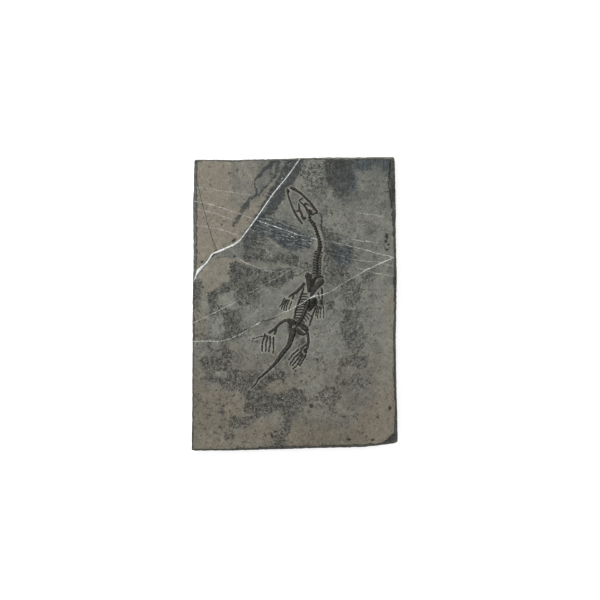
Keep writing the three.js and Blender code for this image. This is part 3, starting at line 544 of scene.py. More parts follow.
# Broad bones of the shoulders and hips, each a closed outline
PLATE_OUTLINES = {
    "shoulder_left": [
        (8.9, 23.6), (9.4, 25.6), (11.0, 26.6), (12.8, 26.0), (14.4, 24.9), (14.6, 23.0), (13.9, 21.2),
        (14.0, 17.3), (14.0, 13.5), (13.8, 10.9), (12.4, 9.9), (11.1, 10.9), (10.6, 15.1), (10.2, 18.4),
        (9.7, 21.4),
    ],
    "shoulder_right": [
        (22.6, 20.6), (24.0, 21.4), (25.2, 20.6), (25.3, 18.9), (24.2, 17.0), (22.3, 15.4), (20.1, 13.4),
        (18.2, 11.3), (16.5, 9.0), (15.0, 7.2), (13.6, 6.6), (13.2, 8.0), (14.3, 10.4), (15.6, 12.6),
        (17.3, 14.7), (19.2, 16.6), (21.0, 18.4),
    ],
    "hip_left": [
        (-6.6, -14.0), (-6.0, -12.7), (-4.2, -12.3), (-2.0, -12.9), (0.2, -13.8), (1.2, -15.0),
        (0.8, -16.6), (-0.8, -17.0), (-2.4, -16.8), (-4.2, -16.4), (-6.0, -15.6),
    ],
    "hip_right": [
        (4.6, -17.0), (6.4, -16.9), (8.6, -17.6), (10.8, -18.9), (12.0, -21.0), (11.6, -22.6),
        (10.0, -22.9), (8.0, -21.9), (5.8, -20.2), (4.2, -18.4),
    ],
    "ischium": [
        (2.2, -21.4), (3.6, -20.9), (5.2, -22.0), (7.0, -23.4), (8.9, -24.8), (9.0, -26.3), (7.2, -26.7),
        (5.0, -26.2), (3.2, -25.0), (2.3, -23.2),
    ],
}
PLATE_EDGE_SHARE = 0.05
PLATE_EDGE_SIZE = 1.6
PLATE_BUMP_SHARE = 0.22
PLATE_BUMP_SIZE = 1.8
PLATE_HALO = 0.15
PLATE_RINGS = [
    (1.0, -0.3), (1.0, 0.25), (0.94, 0.62), (0.82, 0.86), (0.62, 0.97), (0.38, 1.0), (0.14, 0.94),
]

# Other bars of bone about the girdles: x, y, width
BARS = {
    "collar_bone": [
        [
            (16.2, 17.0, 1.0), (16.5, 20.4, 1.7), (17.9, 22.6, 2.0), (20.4, 23.6, 2.0), (23.2, 23.3, 1.6),
            (24.6, 22.4, 1.2),
        ],
    ],
    "hip_left": [[(-3.3, -15.8, 2.2), (-3.5, -18.0, 2.0), (-3.6, -20.6, 1.7)]],
    "wrist_right": [
        [(21.2, 2.3, 0.9), (22.4, 2.6, 1.2), (23.9, 1.9, 1.0)],
        [(21.6, 0.6, 1.0), (23.0, 0.3, 1.3), (24.2, -0.2, 0.9)],
    ],
    "ankle_right": [
        [(8.2, -38.4, 1.5), (9.4, -39.2, 1.8), (10.4, -39.4, 1.6)],
        [(8.4, -40.6, 1.5), (10.6, -41.0, 1.6)],
    ],
}

# Limb bones: the two ends, width at the ends, width at the shaft, and how far the shaft bows sideways
LIMB_BONES = {
    "humerus_left": ((8.3, 17.8), (0.2, 9.0), 2.8, 2.2, 0.3),
    "radius_left": ((-0.6, 9.3), (-5.0, 6.0), 1.6, 1.1, 0.0),
    "ulna_left": ((-0.6, 7.3), (-1.9, 4.2), 1.6, 1.1, 0.0),
    "humerus_right": ((22.8, 13.8), (23.1, 8.8), 2.1, 1.7, 0.4),
    "radius_right": ((23.7, 7.8), (23.4, 4.0), 1.6, 1.2, 0.0),
    "ulna_right": ((20.0, 10.1), (20.8, 4.7), 1.2, 0.9, 0.0),
    "femur_left": ((-7.5, -13.8), (-16.5, -20.9), 2.6, 2.1, -0.9),
    "tibia_left": ((-17.0, -21.1), (-22.1, -24.6), 2.2, 1.8, 0.0),
    "fibula_left": ((-15.3, -21.6), (-17.3, -25.8), 1.7, 1.3, 0.0),
    "femur_right": ((11.0, -24.1), (11.7, -33.3), 2.4, 1.9, 0.3),
    "tibia_right": ((11.6, -33.6), (10.7, -38.2), 2.0, 1.6, 0.0),
    "fibula_right": ((9.9, -34.2), (5.2, -38.1), 1.4, 1.1, 0.0),
}

# Fingers and toes: width at the root, and the joints of each from root to tip
DIGITS = {
    "finger_left": (1.25, [
        [(-8.1, 5.4), (-9.7, 3.1), (-10.3, 1.0), (-11.6, -1.0), (-13.4, -2.6)],
        [(-7.2, 3.9), (-8.6, 1.5), (-9.8, -0.9), (-10.8, -2.8), (-11.4, -4.9)],
        [(-5.7, 4.0), (-6.9, 1.8), (-8.0, -0.4), (-8.8, -2.9), (-9.3, -5.6)],
        [(-4.2, 4.0), (-5.3, 1.4), (-6.4, -1.0), (-7.0, -3.4), (-7.5, -6.0)],
        [(-2.4, 2.4), (-3.2, 0.2), (-4.2, -2.0), (-5.0, -5.3)],
    ]),
    "finger_right": (1.1, [
        [(20.2, -0.8), (19.1, -4.6), (18.2, -7.8), (18.0, -11.0)],
        [(21.5, -1.6), (20.6, -4.8), (19.7, -8.4), (19.6, -13.0)],
        [(22.6, -2.2), (22.2, -5.8), (21.8, -9.0), (22.0, -12.4)],
        [(24.4, -1.6), (24.5, -5.0), (24.8, -8.6), (24.6, -12.8)],
    ]),
    "toe_left": (2.0, [
        [(-26.6, -27.2), (-30.0, -27.6), (-33.2, -28.9), (-36.8, -29.5)],
        [(-25.2, -25.0), (-25.6, -28.0), (-27.0, -31.2), (-27.4, -34.6), (-27.7, -37.6), (-27.5, -40.8)],
        [(-23.5, -26.4), (-23.1, -30.0), (-24.5, -33.2), (-24.1, -37.0), (-24.8, -40.8)],
        [(-20.8, -27.0), (-20.7, -31.0), (-20.7, -34.2), (-21.6, -38.0), (-21.9, -41.4)],
        [(-17.8, -27.6), (-17.9, -31.4), (-17.8, -35.2), (-17.9, -38.6), (-18.3, -42.4)],
    ]),
    "toe_right": (2.0, [
        [(3.8, -38.2), (1.2, -40.6), (-1.8, -43.0), (-3.5, -45.7), (-5.6, -48.0)],
        [(6.2, -38.9), (3.8, -42.0), (-0.1, -45.3), (-1.4, -48.0), (-3.5, -50.2), (-4.0, -52.2)],
        [(6.8, -41.2), (3.9, -45.0), (1.4, -48.4), (-0.8, -51.0), (-2.2, -52.6)],
        [(7.7, -42.7), (5.3, -46.6), (3.8, -49.4), (2.0, -52.2), (-0.2, -54.4), (-2.0, -55.4)],
        [(9.9, -42.2), (8.4, -46.0), (6.6, -48.6), (5.4, -50.8), (4.0, -52.9)],
    ]),
}

# How far a digit narrows from root to tip, how wide its bones are at the waist and how much more at the ends
DIGIT_TAPER = 0.33
DIGIT_WAIST = 0.64
DIGIT_FLARE = 0.5

# How much thinner the faint first toe of the left foot is
FAINT_DIGITS = {"toe_left_1": 0.45}

# Colours as eight-bit screen values
GREY_GREEN = (112, 112, 104)
GREY_DARK = (90, 91, 86)
WARM_BROWN = (121, 115, 103)
OLIVE_BROWN = (113, 106, 92)
OLIVE_DARK = (84, 79, 68)
SLATE_BLUE = (55, 62, 66)
SLATE_BLACK = (36, 41, 44)
MOTTLE_DARK = (64, 64, 60)
MOTTLE_BLACK = (50, 50, 47)
# The near-black of stains, cracks and specks, also used as the painted shade of the rim, its brink and the
# pits
STAIN_AND_SHADE_BLACK = (36, 35, 33)
# The broken rim's painted shade
RIM_SHADE = (67, 67, 63)
PALE_STONE = (124, 125, 116)
CREAM = (150, 138, 122)
HALO_PALE = (148, 147, 137)
CALCITE = (216, 220, 217)
CALCITE_GREY = (158, 162, 160)
# The black below is painted shade at a bone's foot and beside it on the stone, and the brown is a painted
# highlight on a bone's crown
BONE_SHADE_BLACK = (18, 17, 16)
BONE_DARK = (35, 33, 30)
BONE_CROWN_HIGHLIGHT = (58, 55, 49)
BONE_PALE = (112, 108, 98)
FLOOR_WHITE = (250, 250, 250)

# Which way the stone's streaks lie, in degrees from X
SHEAR_TURN = -17
SMEAR_TURN = 84
SCRATCH_TURN = 62

# The stone's markings: the mottling's fineness per millimetre, how far a patch raises its noise and where
# that is cut, the specks' spacing, radius and share, and the places along Y between which the upper rim
# is painted paler as lit
BLOTCH_SCALE = 0.42
BLOTCH_RAISE = 0.27
BLOTCH_CUT = (0.63, 0.655)
DARK_SPECKS = (4.5, 0.5, 0.16)
LIGHT_SPECKS = (11.0, 0.4, 0.14)
LIT_TOP_RIM = (121.0, 123.5)

# Noises: fineness per millimetre, layers, roughness, and a twist for some
CLOUDS = (0.045, 5.0, 0.6)
FINE_CLOUDS = (0.22, 6.0, 0.7)
SLATE_NOISE = (0.35, 5.0, 0.68, 0.5)
STRAND_NOISE = (0.5, 4.0, 0.68, 0.6)
SMEAR_NOISE = (0.9, 3.0, 0.6)
FAINT_MOTTLE_NOISE = (0.05, 3.0, 0.6)
CRUMB_NOISE = (0.45, 4.0, 0.65)
LIGHT_GRAIN_NOISE = (0.5, 3.0, 0.7)
STREAK_NOISE = (0.8, 5.0, 0.7)
FLECK_NOISE = (1.0, 4.0, 0.7)
HALO_NOISE = (0.4, 3.0)
STAIN_NOISE = (1.1, 4.0, 0.75)
FOOT_SHADE_NOISE = (1.2, 3.0)
SCRATCH_NOISE = (1.3, 2.0, 0.5)
RIM_NOISE = (0.55, 5.0, 0.75)
RIM_HEIGHT_NOISE = (0.6, 5.0, 0.7)
BEDDING_NOISE = (1.1, 4.0, 0.6)
SEAM_NOISE = (0.5, 4.0, 0.7)
LINE_WOBBLE_NOISE = (0.3, 4.0, 0.65)
LINE_WIDTH_NOISE = (0.9, 3.0, 0.7)
LINE_GAP_NOISE = (0.45, 5.0, 0.75)
CALCITE_CLOUDS = (0.55, 5.0, 0.7)
CALCITE_STAINS = (0.3, 3.0, 0.6)
BONE_CLOUDS = (0.5, 5.0, 0.7)
BONE_WEAR = (0.6, 4.0, 0.75)
TABLE_FIBRE = (0.2, 3.0)

# How far streaks are drawn out, as multiples of their width, and how wide the bedding's spots are
SMEAR_LENGTH = 14.0
STREAK_LENGTH = 9.0
FLECK_LENGTH = 4.0
SCRATCH_LENGTH = 30.0
BEDDING_WIDTH = 9.0

# How fully each marking covers the stone
PALE_COVER = 0.55
SLATE_COVER = 0.5
SLATE_PATCH_COVER = 0.85
STRAND_COVER = 0.35
STRAND_PATCH_COVER = 0.72
CURL_COVER = 0.92
DARK_STREAK_COVER = 0.85
LIGHT_STREAK_COVER = 0.4
FLECK_COVER = 0.8
HALO_COVER = 0.6
STAIN_COVER = 0.92
# Painted shade on the stone at a bone's foot
FOOT_SHADE_COVER = 0.75
DARK_SPECK_COVER = 0.75
LIGHT_SPECK_COVER = 0.45
# Painted shade in the pits
PIT_SHADE_COVER = 0.95
THIN_VEIN_COVER = 0.9
CRACK_COVER = 0.85
VEIN_ON_BONE_COVER = 0.75

# Distances of markings: how far a halo reaches from a bone at least and at most, where it is full, how wide
# the painted shade at a bone's foot is, where the thick vein's grey seam fades and is full, and how far a
# thin line wanders
HALO_REACH = (1.0, 2.2)
HALO_FULL = 0.3
FOOT_SHADE_REACH = 0.4
SEAM_REACH = (1.3, 0.5)
LINE_WOBBLE = 2.2


# Numbers and noise

def smooth(t):
    """3t^2 - 2t^3, with t first held between 0 and 1."""
    t = np.clip(t, 0.0, 1.0)
    return t * t * (3.0 - 2.0 * t)


def hashed(ix, iy, iz, seed):
    """A random-looking share for whole coordinates: the fraction of a large sine of their weighted sum."""
    wave = np.sin(ix * 12.9898 + iy * 78.233 + iz * 37.719 + seed * 4.1414) * 43758.5453
    return wave - np.floor(wave)


def lattice_noise(x, y, z, size, seed):
    """Noise from -1 to 1: hashed values on a cubic lattice of that size, joined between by smoothstep
    weights."""
    px, py, pz = x / size, y / size, z / size
    ix, iy, iz = np.floor(px), np.floor(py), np.floor(pz)
    wx, wy, wz = smooth(px - ix), smooth(py - iy), smooth(pz - iz)
    total = np.zeros_like(px)
    for corner in range(8):
        cx, cy, cz = corner & 1, (corner >> 1) & 1, corner >> 2
        weight = (wx if cx else 1 - wx) * (wy if cy else 1 - wy) * (wz if cz else 1 - wz)
        total += weight * hashed(ix + cx, iy + cy, iz + cz, seed)
    return 2.0 * total - 1.0


def layered_noise(x, y, z, size, seed, layers=4):
    """Lattice noise at size, a half, a quarter and so on, each layer half as strong as the one before."""
    x, y, z = np.broadcast_arrays(np.asarray(x, float), np.asarray(y, float), np.asarray(z, float))
    total = np.zeros(x.shape)
    for layer in range(layers):
        total += lattice_noise(x, y, z, size / 2**layer, seed + layer) / 2**layer
    return total / 1.6


def patches(x, y, table):
    """The strongest of several soft ellipses at each point: strength times smoothstep of 1.45 less the
    scaled radius."""
    strongest = np.zeros_like(x)
    for cx, cy, rx, ry, turn, strength in table:
        angle = np.radians(turn)
        dx, dy = x - cx, y - cy
        u = (dx * np.cos(angle) + dy * np.sin(angle)) / rx
        v = (dy * np.cos(angle) - dx * np.sin(angle)) / ry
        strongest = np.maximum(strongest, strength * smooth(1.45 - np.hypot(u, v)))
    return strongest


def path_field(x, y, points):
    """For each point: the signed distance to a polyline, left of its direction positive, and its place
    along it as a count of segments. On each segment the nearest place is the projection, held between its
    two ends."""
    nearest = np.full(x.shape, 1e9)
    signed = np.zeros(x.shape)
    place = np.zeros(x.shape)
    for i in range(len(points) - 1):
        ax, ay = points[i][0], points[i][1]
        ex, ey = points[i + 1][0] - ax, points[i + 1][1] - ay
        length = np.hypot(ex, ey)
        t = np.clip(((x - ax) * ex + (y - ay) * ey) / length**2, 0.0, 1.0)
        distance = np.hypot(x - ax - t * ex, y - ay - t * ey)
        side = np.where(ex * (y - ay) - ey * (x - ax) < 0, -1.0, 1.0)
        closer = distance < nearest
        nearest = np.where(closer, distance, nearest)
        signed = np.where(closer, side * distance, signed)
        place = np.where(closer, i + t, place)
    return signed, place


def sketched(points):
    """Points of the sketch as millimetres on the slab. Columns after x and y are kept as they are."""
    table = np.asarray(points, float).copy()
    table[:, 0] = SQUARE * (table[:, 0] - SKETCH_MIDDLE[0])
    table[:, 1] = SQUARE * (SKETCH_MIDDLE[1] - table[:, 1])
    return table


def areas(x, y, table):
    """The strongest of several sketched areas at each point. An area's share is smoothstep of a half plus
    the distance inside its outline over 2.4 times its softness. A point is inside where a ray crosses the
    outline an odd number of times."""
    strongest = np.zeros_like(x)
    for strength, softness, outline in table:
        corners = sketched(outline + outline[:1])
        apart = np.abs(path_field(x, y, corners)[0])
        inside = np.zeros(x.shape, bool)
        for (x0, y0), (x1, y1) in zip(corners[:-1], corners[1:]):
            if y0 != y1:
                inside ^= ((y0 > y) != (y1 > y)) & (x < x0 + (y - y0) * (x1 - x0) / (y1 - y0))
        depth = np.where(inside, apart, -apart)
        strongest = np.maximum(strongest, strength * smooth(0.5 + depth / (2.4 * softness * SQUARE)))
    return strongest


def strands(x, y, table):
    """The strongest of several sketched strands at each point: smoothstep of 1.5 less the distance from the
    strand's line over its half width there."""
    strongest = np.zeros_like(x)
    for strength, line in table:
        path = sketched(line)
        apart, place = path_field(x, y, path)
        half = SQUARE * np.interp(place, np.arange(len(path)), path[:, 2])
        strongest = np.maximum(strongest, strength * smooth(1.5 - np.abs(apart) / half))
    return strongest


def curve_between(p0, p1, p2, p3, t):
    """The Catmull-Rom cubic from p1 to p2, with t from 0 to 1 and the points on either side as p0 and p3."""
    square = 2 * p0 - 5 * p1 + 4 * p2 - p3
    cube = 3 * p1 - p0 - 3 * p2 + p3
    return 0.5 * (2 * p1 + (p2 - p0) * t + square * t**2 + cube * t**3)


def smooth_path(points, step):
    """A Catmull-Rom curve through the points, sampled about every step along it. Every column is carried
    along."""
    control = np.asarray(points, float)
    if len(control) == 2:
        control = np.vstack([control[0], control.mean(axis=0), control[1]])
    padded = np.vstack([2 * control[0] - control[1], control, 2 * control[-1] - control[-2]])
    samples = []
    for i in range(len(control) - 1):
        p0, p1, p2, p3 = padded[i], padded[i + 1], padded[i + 2], padded[i + 3]
        count = max(3, int(np.ceil(np.hypot(*(p2 - p1)[:2]) / step)))
        t = np.linspace(0, 1, count, endpoint=False)[:, None]
        samples.append(curve_between(p0, p1, p2, p3, t))
    samples.append(control[-1:])
    return np.vstack(samples)


def arc_length(path):
    """The distance along a path at each of its points: the running sum of the steps between them."""
    steps = np.hypot(np.diff(path[:, 0]), np.diff(path[:, 1]))
    return np.concatenate([[0.0], np.cumsum(steps)])


# Meshes

def mesh_piece(name, points, faces, attributes=None):
    """A Blender object at the origin from points in millimetres and faces, with float attributes on its
    points."""
    mesh = bpy.data.meshes.new(name)
    mesh.from_pydata((points * MM).tolist(), [], faces)
    for key, values in (attributes or {}).items():
        vector = np.ndim(values) == 2
        layer = mesh.attributes.new(key, "FLOAT_VECTOR" if vector else "FLOAT", "POINT")
        layer.data.foreach_set("vector" if vector else "value", np.asarray(values, np.float32).ravel())
    mesh.polygons.foreach_set("use_smooth", np.ones(len(mesh.polygons), bool))
    mesh.update()
    piece = bpy.data.objects.new(name, mesh)
    bpy.context.scene.collection.objects.link(piece)
    return piece


def grid_faces(rows, columns, closed=False):
    """The quads of a grid of points stored row by row: each joins a point, its neighbour in the row and
    the two after them in the next row. A closed grid also joins the last column to the first."""
    index = np.arange(rows * columns).reshape(rows, columns)
    if closed:
        index = np.hstack([index, index[:, :1]])
    corners = [index[:-1, :-1], index[:-1, 1:], index[1:, 1:], index[1:, :-1]]
    return np.stack([corner.ravel() for corner in corners], axis=1)


def volume_sign(points, faces):
    """Whether a closed surface faces out: the sign of the summed volumes of the wedges from the origin to
    its faces' first triangles and the triangles that complete the quads."""
    a, b, c, d = (points[faces[:, k]] for k in range(4))
    wedges = np.einsum("ij,ij->i", a, np.cross(b, c)) + np.einsum("ij,ij->i", a, np.cross(c, d))
    return np.sign(wedges.sum())


def closed_tube(rings):
    """Points, quads and end triangles of a closed shell through rings of points (rings, points, 3). Each
    end is closed by a fan to its middle, and all faces are turned out."""
    count, size = rings.shape[:2]
    points = np.vstack([rings.reshape(-1, 3), rings[0].mean(axis=0), rings[-1].mean(axis=0)])
    sides = grid_faces(count, size, closed=True)
    around = np.arange(size)
    after = np.roll(around, -1)
    start, end = count * size, count * size + 1
    last = (count - 1) * size
    fans = [np.stack([np.full(size, start), after, around], axis=1)]
    fans.append(np.stack([np.full(size, end), last + around, last + after], axis=1))
    if volume_sign(points, sides) < 0:
        sides = sides[:, ::-1]
        fans = [fan[:, ::-1] for fan in fans]
    return points, sides, np.vstack(fans)


def together(shells):
    """Several shells as one array of points and one list of faces. Each shell's faces count on from the
    points before it."""
    starts = np.cumsum([0] + [len(points) for points, _, _ in shells])
    faces = []
    for start, (_, sides, fans) in zip(starts, shells):
        faces += (sides + start).tolist() + (fans + start).tolist()
    return np.vstack([points for points, _, _ in shells]), faces


# Bones

# For every bone built so far: x, y and half width at places along it, which the slab's face reads later
bone_outlines = []


def bone_shell(path, height_share, relief, seed, tip=0.5, roughness=0.07):
    """A bone on the face. Its path is smooth and its section is half an ellipse above the face, as wide
    as the path says and as high as relief times height_share times the root of the width's share of the
    widest, over a shallow keel below it. The last tip of its width at each end rounds off by the root of
    1 - (1 - s)^2, and the whole skin is roughened by layered noise."""
    length = arc_length(path)
    width = path[:, 2]
    reach = np.maximum(tip * width, 1e-3)
    start_share = np.clip(length / reach, 0.02, 1.0)
    end_share = np.clip((length[-1] - length) / reach, 0.02, 1.0)
    rounding = np.sqrt(1 - (1 - start_share) ** 2) * np.sqrt(1 - (1 - end_share) ** 2)
    direction = np.gradient(path[:, :2], axis=0)
    direction /= np.maximum(np.hypot(direction[:, 0], direction[:, 1]), 1e-9)[:, None]
    angle = np.linspace(0, 2 * np.pi, SECTION_POINTS, endpoint=False)[None, :]
    across = np.cos(angle) * (0.5 * width * rounding)[:, None]
    height = relief * height_share * np.sqrt(width / width.max()) * (0.35 + 0.65 * rounding)
    up = np.sin(angle) * np.where(np.sin(angle) > 0, height[:, None], SUNK)
    x = path[:, 0:1] - direction[:, 1:2] * across
    y = path[:, 1:2] + direction[:, 0:1] * across
    bumps = 1 + roughness * layered_noise(x, y, up * 2, BONE_BUMP_SIZE, seed, 3)
    x = path[:, 0:1] + (x - path[:, 0:1]) * bumps
    y = path[:, 1:2] + (y - path[:, 1:2]) * bumps
    z = THICKNESS + np.where(up > 0, up * bumps, up)
    bone_outlines.append(np.column_stack([path[:, 0], path[:, 1], 0.5 * width * rounding]))
    return closed_tube(np.stack([x, y, z], axis=2))


def plain_bone(points, relief, seed, **options):
    """A bone shell along given points, its height even along it."""
    return bone_shell(smooth_path(points, BONE_STEP), 1.0, relief, seed, **options)


def smooth_loop(points, count):
    """A closed Catmull-Rom curve through the points, with count samples from each to the next."""
    p1 = np.asarray(points, float)[:, None, :]
    p0, p2, p3 = np.roll(p1, 1, axis=0), np.roll(p1, -1, axis=0), np.roll(p1, -2, axis=0)
    t = np.linspace(0, 1, count, endpoint=False)[None, :, None]
    return curve_between(p0, p1, p2, p3, t).reshape(-1, 2)


def plate_shell(outline, relief, seed):
    """A broad bone on the face. Its outline is a smooth loop, roughened by noise, and each ring draws
    that loop in to its middle by a share and lifts it by a share of the relief, so that it is steep at
    the edge and flat within."""
    loop = smooth_loop(outline, 5)
    middle = loop.mean(axis=0)
    rings = []
    for share, lift in PLATE_RINGS:
        rough = 1 + PLATE_EDGE_SHARE * layered_noise(loop[:, 0], loop[:, 1], lift, PLATE_EDGE_SIZE, seed, 3)
        plan = middle + (loop - middle) * share * rough[:, None]
        bumps = layered_noise(plan[:, 0], plan[:, 1], 0.0, PLATE_BUMP_SIZE, seed + 1, 3)
        bumps = 1 + PLATE_BUMP_SHARE * bumps
        level = np.where(lift > 0, relief * lift * bumps, lift)
        rings.append(np.column_stack([plan, THICKNESS + level]))
        bone_outlines.append(np.column_stack([plan, np.full(len(plan), PLATE_HALO)]))
    return closed_tube(np.stack(rings))


def limb_shell(start, end, end_width, shaft_width, bow, seed):
    """A limb bone: straight between its ends but for a sideways bow of 4 s (1 - s). It is widest at its ends
    and narrows to the shaft's width by the third power of the distance from its middle."""
    (x0, y0), (x1, y1) = start, end
    length = np.hypot(x1 - x0, y1 - y0)
    s = np.linspace(0, 1, max(10, int(length / BONE_STEP)))
    side = 4 * bow * s * (1 - s) / length
    width = shaft_width + (end_width - shaft_width) * np.abs(2 * s - 1) ** 3
    x = x0 + (x1 - x0) * s - (y1 - y0) * side
    y = y0 + (y1 - y0) * s + (x1 - x0) * side
    return bone_shell(np.column_stack([x, y, width]), 1.0, RELIEF_LIMB, seed, tip=0.35)


def vertebrae_path(landmarks, count, pinch, tightness=3.0):
    """A path whose width is pinched at the joints between count equal bones. The width is multiplied by
    1 - pinch (1 - |sin(pi n)|)^tightness, with n the place counted in bones. Returns the path, that factor
    and the middle of each bone."""
    path = smooth_path(landmarks, COLUMN_STEP)
    length = arc_length(path)
    place = count * length / length[-1]
    swell = 1 - pinch * (1 - np.abs(np.sin(np.pi * place))) ** tightness
    pinched = np.column_stack([path[:, 0], path[:, 1], path[:, 2] * swell])
    middles = np.stack([np.interp(np.arange(count) + 0.5, place, path[:, k]) for k in range(3)], axis=1)
    return pinched, swell, middles


def digit_shells(joints, width, seed):
    """A finger or toe: one waisted bone between each two joints, with a small gap at each joint, tapering
    by a third from root to tip."""
    shells = []
    count = len(joints) - 1
    for i in range(count):
        (x0, y0), (x1, y1) = joints[i], joints[i + 1]
        s = np.linspace(0.09, 0.91, 12)
        taper = 1 - DIGIT_TAPER * (i + s) / count
        shape = (DIGIT_WAIST + DIGIT_FLARE * np.abs(2 * s - 1) ** 2) * taper * width
        path = np.column_stack([x0 + (x1 - x0) * s, y0 + (y1 - y0) * s, shape])
        shells.append(bone_shell(path, 1.0, RELIEF_DIGIT, seed + i, tip=0.4))
    return shells


def rib_shell(head, bend, seed):
    """A rib from the backbone to the flank, arched at its middle and thinner towards its tip."""
    middle = ((head[0] + bend[0]) / 2, (head[1] + bend[1]) / 2 + RIB_ARCH, RIB_WIDTH)
    points = [(head[0], head[1], RIB_WIDTH), middle, (bend[0], bend[1], RIB_WIDTH * RIB_TIP_SHARE)]
    return plain_bone(points, RELIEF_RIB, seed, tip=0.4)


def build_bone_shells():
    """Every bone piece's shells, under the name of the solid that it stands for."""
    shells = {
        "jaw_right": [plain_bone(JAW_RIGHT, RELIEF_JAW, 11), plain_bone(JAW_RIGHT_HOOK, RELIEF_JAW, 12)],
        "jaw_left": [plain_bone(JAW_LEFT, RELIEF_JAW, 13), plain_bone(JAW_LEFT_TIP, RELIEF_JAW, 14)],
        "palate_right": [plain_bone(path, RELIEF_JAW, 20 + i) for i, path in enumerate(PALATE_RIGHT)],
        "palate_left": [plain_bone(path, RELIEF_JAW, 30 + i) for i, path in enumerate(PALATE_LEFT)],
    }
    path, swell, middles = vertebrae_path(NECK, NECK_BONES, NECK_PINCH, NECK_TIGHTNESS)
    shells["neck"] = [bone_shell(path, swell, RELIEF_COLUMN, 40, roughness=NECK_ROUGHNESS)]
    ahead = np.gradient(middles[:, :2], axis=0)
    ahead /= np.hypot(ahead[:, 0], ahead[:, 1])[:, None]
    for i, (x, y, width) in enumerate(middles):
        for side in (-1, 1):
            start, reach = NECK_SPUR_START, 0.5 * width + NECK_SPUR_REACH * hashed(i, side, 0, 7)
            if i >= NECK_RIBS_FROM:
                start, reach = NECK_RIB_START, NECK_RIB_REACH
            across = side * np.array([-ahead[i, 1], ahead[i, 0]])
            root = np.array([x, y]) + start * across
            tip = np.array([x, y]) + reach * across + NECK_RIB_SLANT * ahead[i]
            ends = [(*root, NECK_RIB_WIDTHS[0]), (*tip, NECK_RIB_WIDTHS[1])]
            shells["neck"].append(plain_bone(ends, RELIEF_RIB, 50 + 2 * i + side))
    path, swell, _ = vertebrae_path(SHOULDER_VERTEBRAE, SHOULDER_BONES, SHOULDER_PINCH)
    shells["shoulder_vertebrae"] = [bone_shell(path, swell, RELIEF_COLUMN, 90)]
    path, swell, _ = vertebrae_path(BACKBONE, BACKBONE_BONES, BACKBONE_PINCH)
    trunk = [bone_shell(path, swell, RELIEF_COLUMN, 100, roughness=BACKBONE_ROUGHNESS)]
    for i, head in enumerate(LEFT_RIB_HEADS):
        trunk.append(rib_shell(head, LEFT_FLANK[i + 2], 110 + i))
    for i, head in enumerate(RIGHT_RIB_HEADS):
        trunk.append(rib_shell(head, RIGHT_RIB_TIPS[i], 130 + i))
    for i, flank in enumerate((LEFT_FLANK, RIGHT_FLANK)):
        points = [(x, y, FLANK_WIDTH if k else FLANK_START_WIDTH) for k, (x, y) in enumerate(flank)]
        trunk.append(plain_bone(points, RELIEF_RIB, 140 + i))
    shells["backbone_and_ribs"] = trunk
    path, swell, _ = vertebrae_path(TAIL, TAIL_BONES, TAIL_PINCH)
    tail_depth = swell**TAIL_DEPTH_POWER
    shells["tail"] = [bone_shell(path, tail_depth, RELIEF_COLUMN, 150, roughness=TAIL_ROUGHNESS)]
    midline = smooth_path(BELLY_MIDLINE, BONE_STEP)
    belly = [bone_shell(midline, BELLY_MIDLINE_HEIGHT, RELIEF_RIB, 160)]
    length = arc_length(midline)
    for i, share in enumerate(np.linspace(0.02, 0.98, BELLY_ROWS)):
        x = np.interp(share * length[-1], length, midline[:, 0])
        y = np.interp(share * length[-1], length, midline[:, 1])
        half = BELLY_ROW_HALF * (1 - BELLY_ROW_NARROWING * abs(2 * share - 1))
        end_width = BELLY_ROW_WIDTH * BELLY_ROW_END_SHARE
        left = (x - half, y - half * BELLY_ROW_RISE, end_width)
        right = (x + half, y + half * BELLY_ROW_RISE, end_width)
        belly.append(plain_bone([left, (x, y, BELLY_ROW_WIDTH), right], RELIEF_RIB, 170 + i))
    shells["belly_ribs"] = belly
    for i, (name, outline) in enumerate(PLATE_OUTLINES.items()):
        shells[name] = [plate_shell(outline, RELIEF_PLATE, 200 + i)]
    for i, (name, paths) in enumerate(BARS.items()):
        shells.setdefault(name, [])
        for k, path in enumerate(paths):
            bar = plain_bone(path, RELIEF_PLATE, 220 + 5 * i + k, roughness=BAR_ROUGHNESS)
            shells[name].append(bar)
    for i, (name, (start, end, end_width, shaft_width, bow)) in enumerate(LIMB_BONES.items()):
        shells[name] = [limb_shell(start, end, end_width, shaft_width, bow, 300 + i)]
    for i, (name, (width, digits)) in enumerate(DIGITS.items()):
        for k, joints in enumerate(digits):
            key = f"{name}_{k + 1}"
            shells[key] = digit_shells(joints, width * FAINT_DIGITS.get(key, 1.0), 400 + 60 * i + 10 * k)
    return shells


# The slab

def bone_distance(x, y):
    """How far each point of the face is from the nearest bone's edge: the least of the distances to the
    bones' middle lines less their half widths. Only points near a bone are worked out, and the rest are
    far."""
    nearest = np.full(x.shape, FAR)
    for outline in bone_outlines:
        low = outline[:, :2].min(axis=0) - BONE_REACH
        high = outline[:, :2].max(axis=0) + BONE_REACH
        near = (x > low[0]) & (x < high[0]) & (y > low[1]) & (y < high[1])
        if not near.any():
            continue
        dx = x[near][:, None] - outline[None, :, 0]
        dy = y[near][:, None] - outline[None, :, 1]
        reach = (np.hypot(dx, dy) - outline[None, :, 2]).min(axis=1)
        nearest[near] = np.minimum(nearest[near], reach)
    return nearest


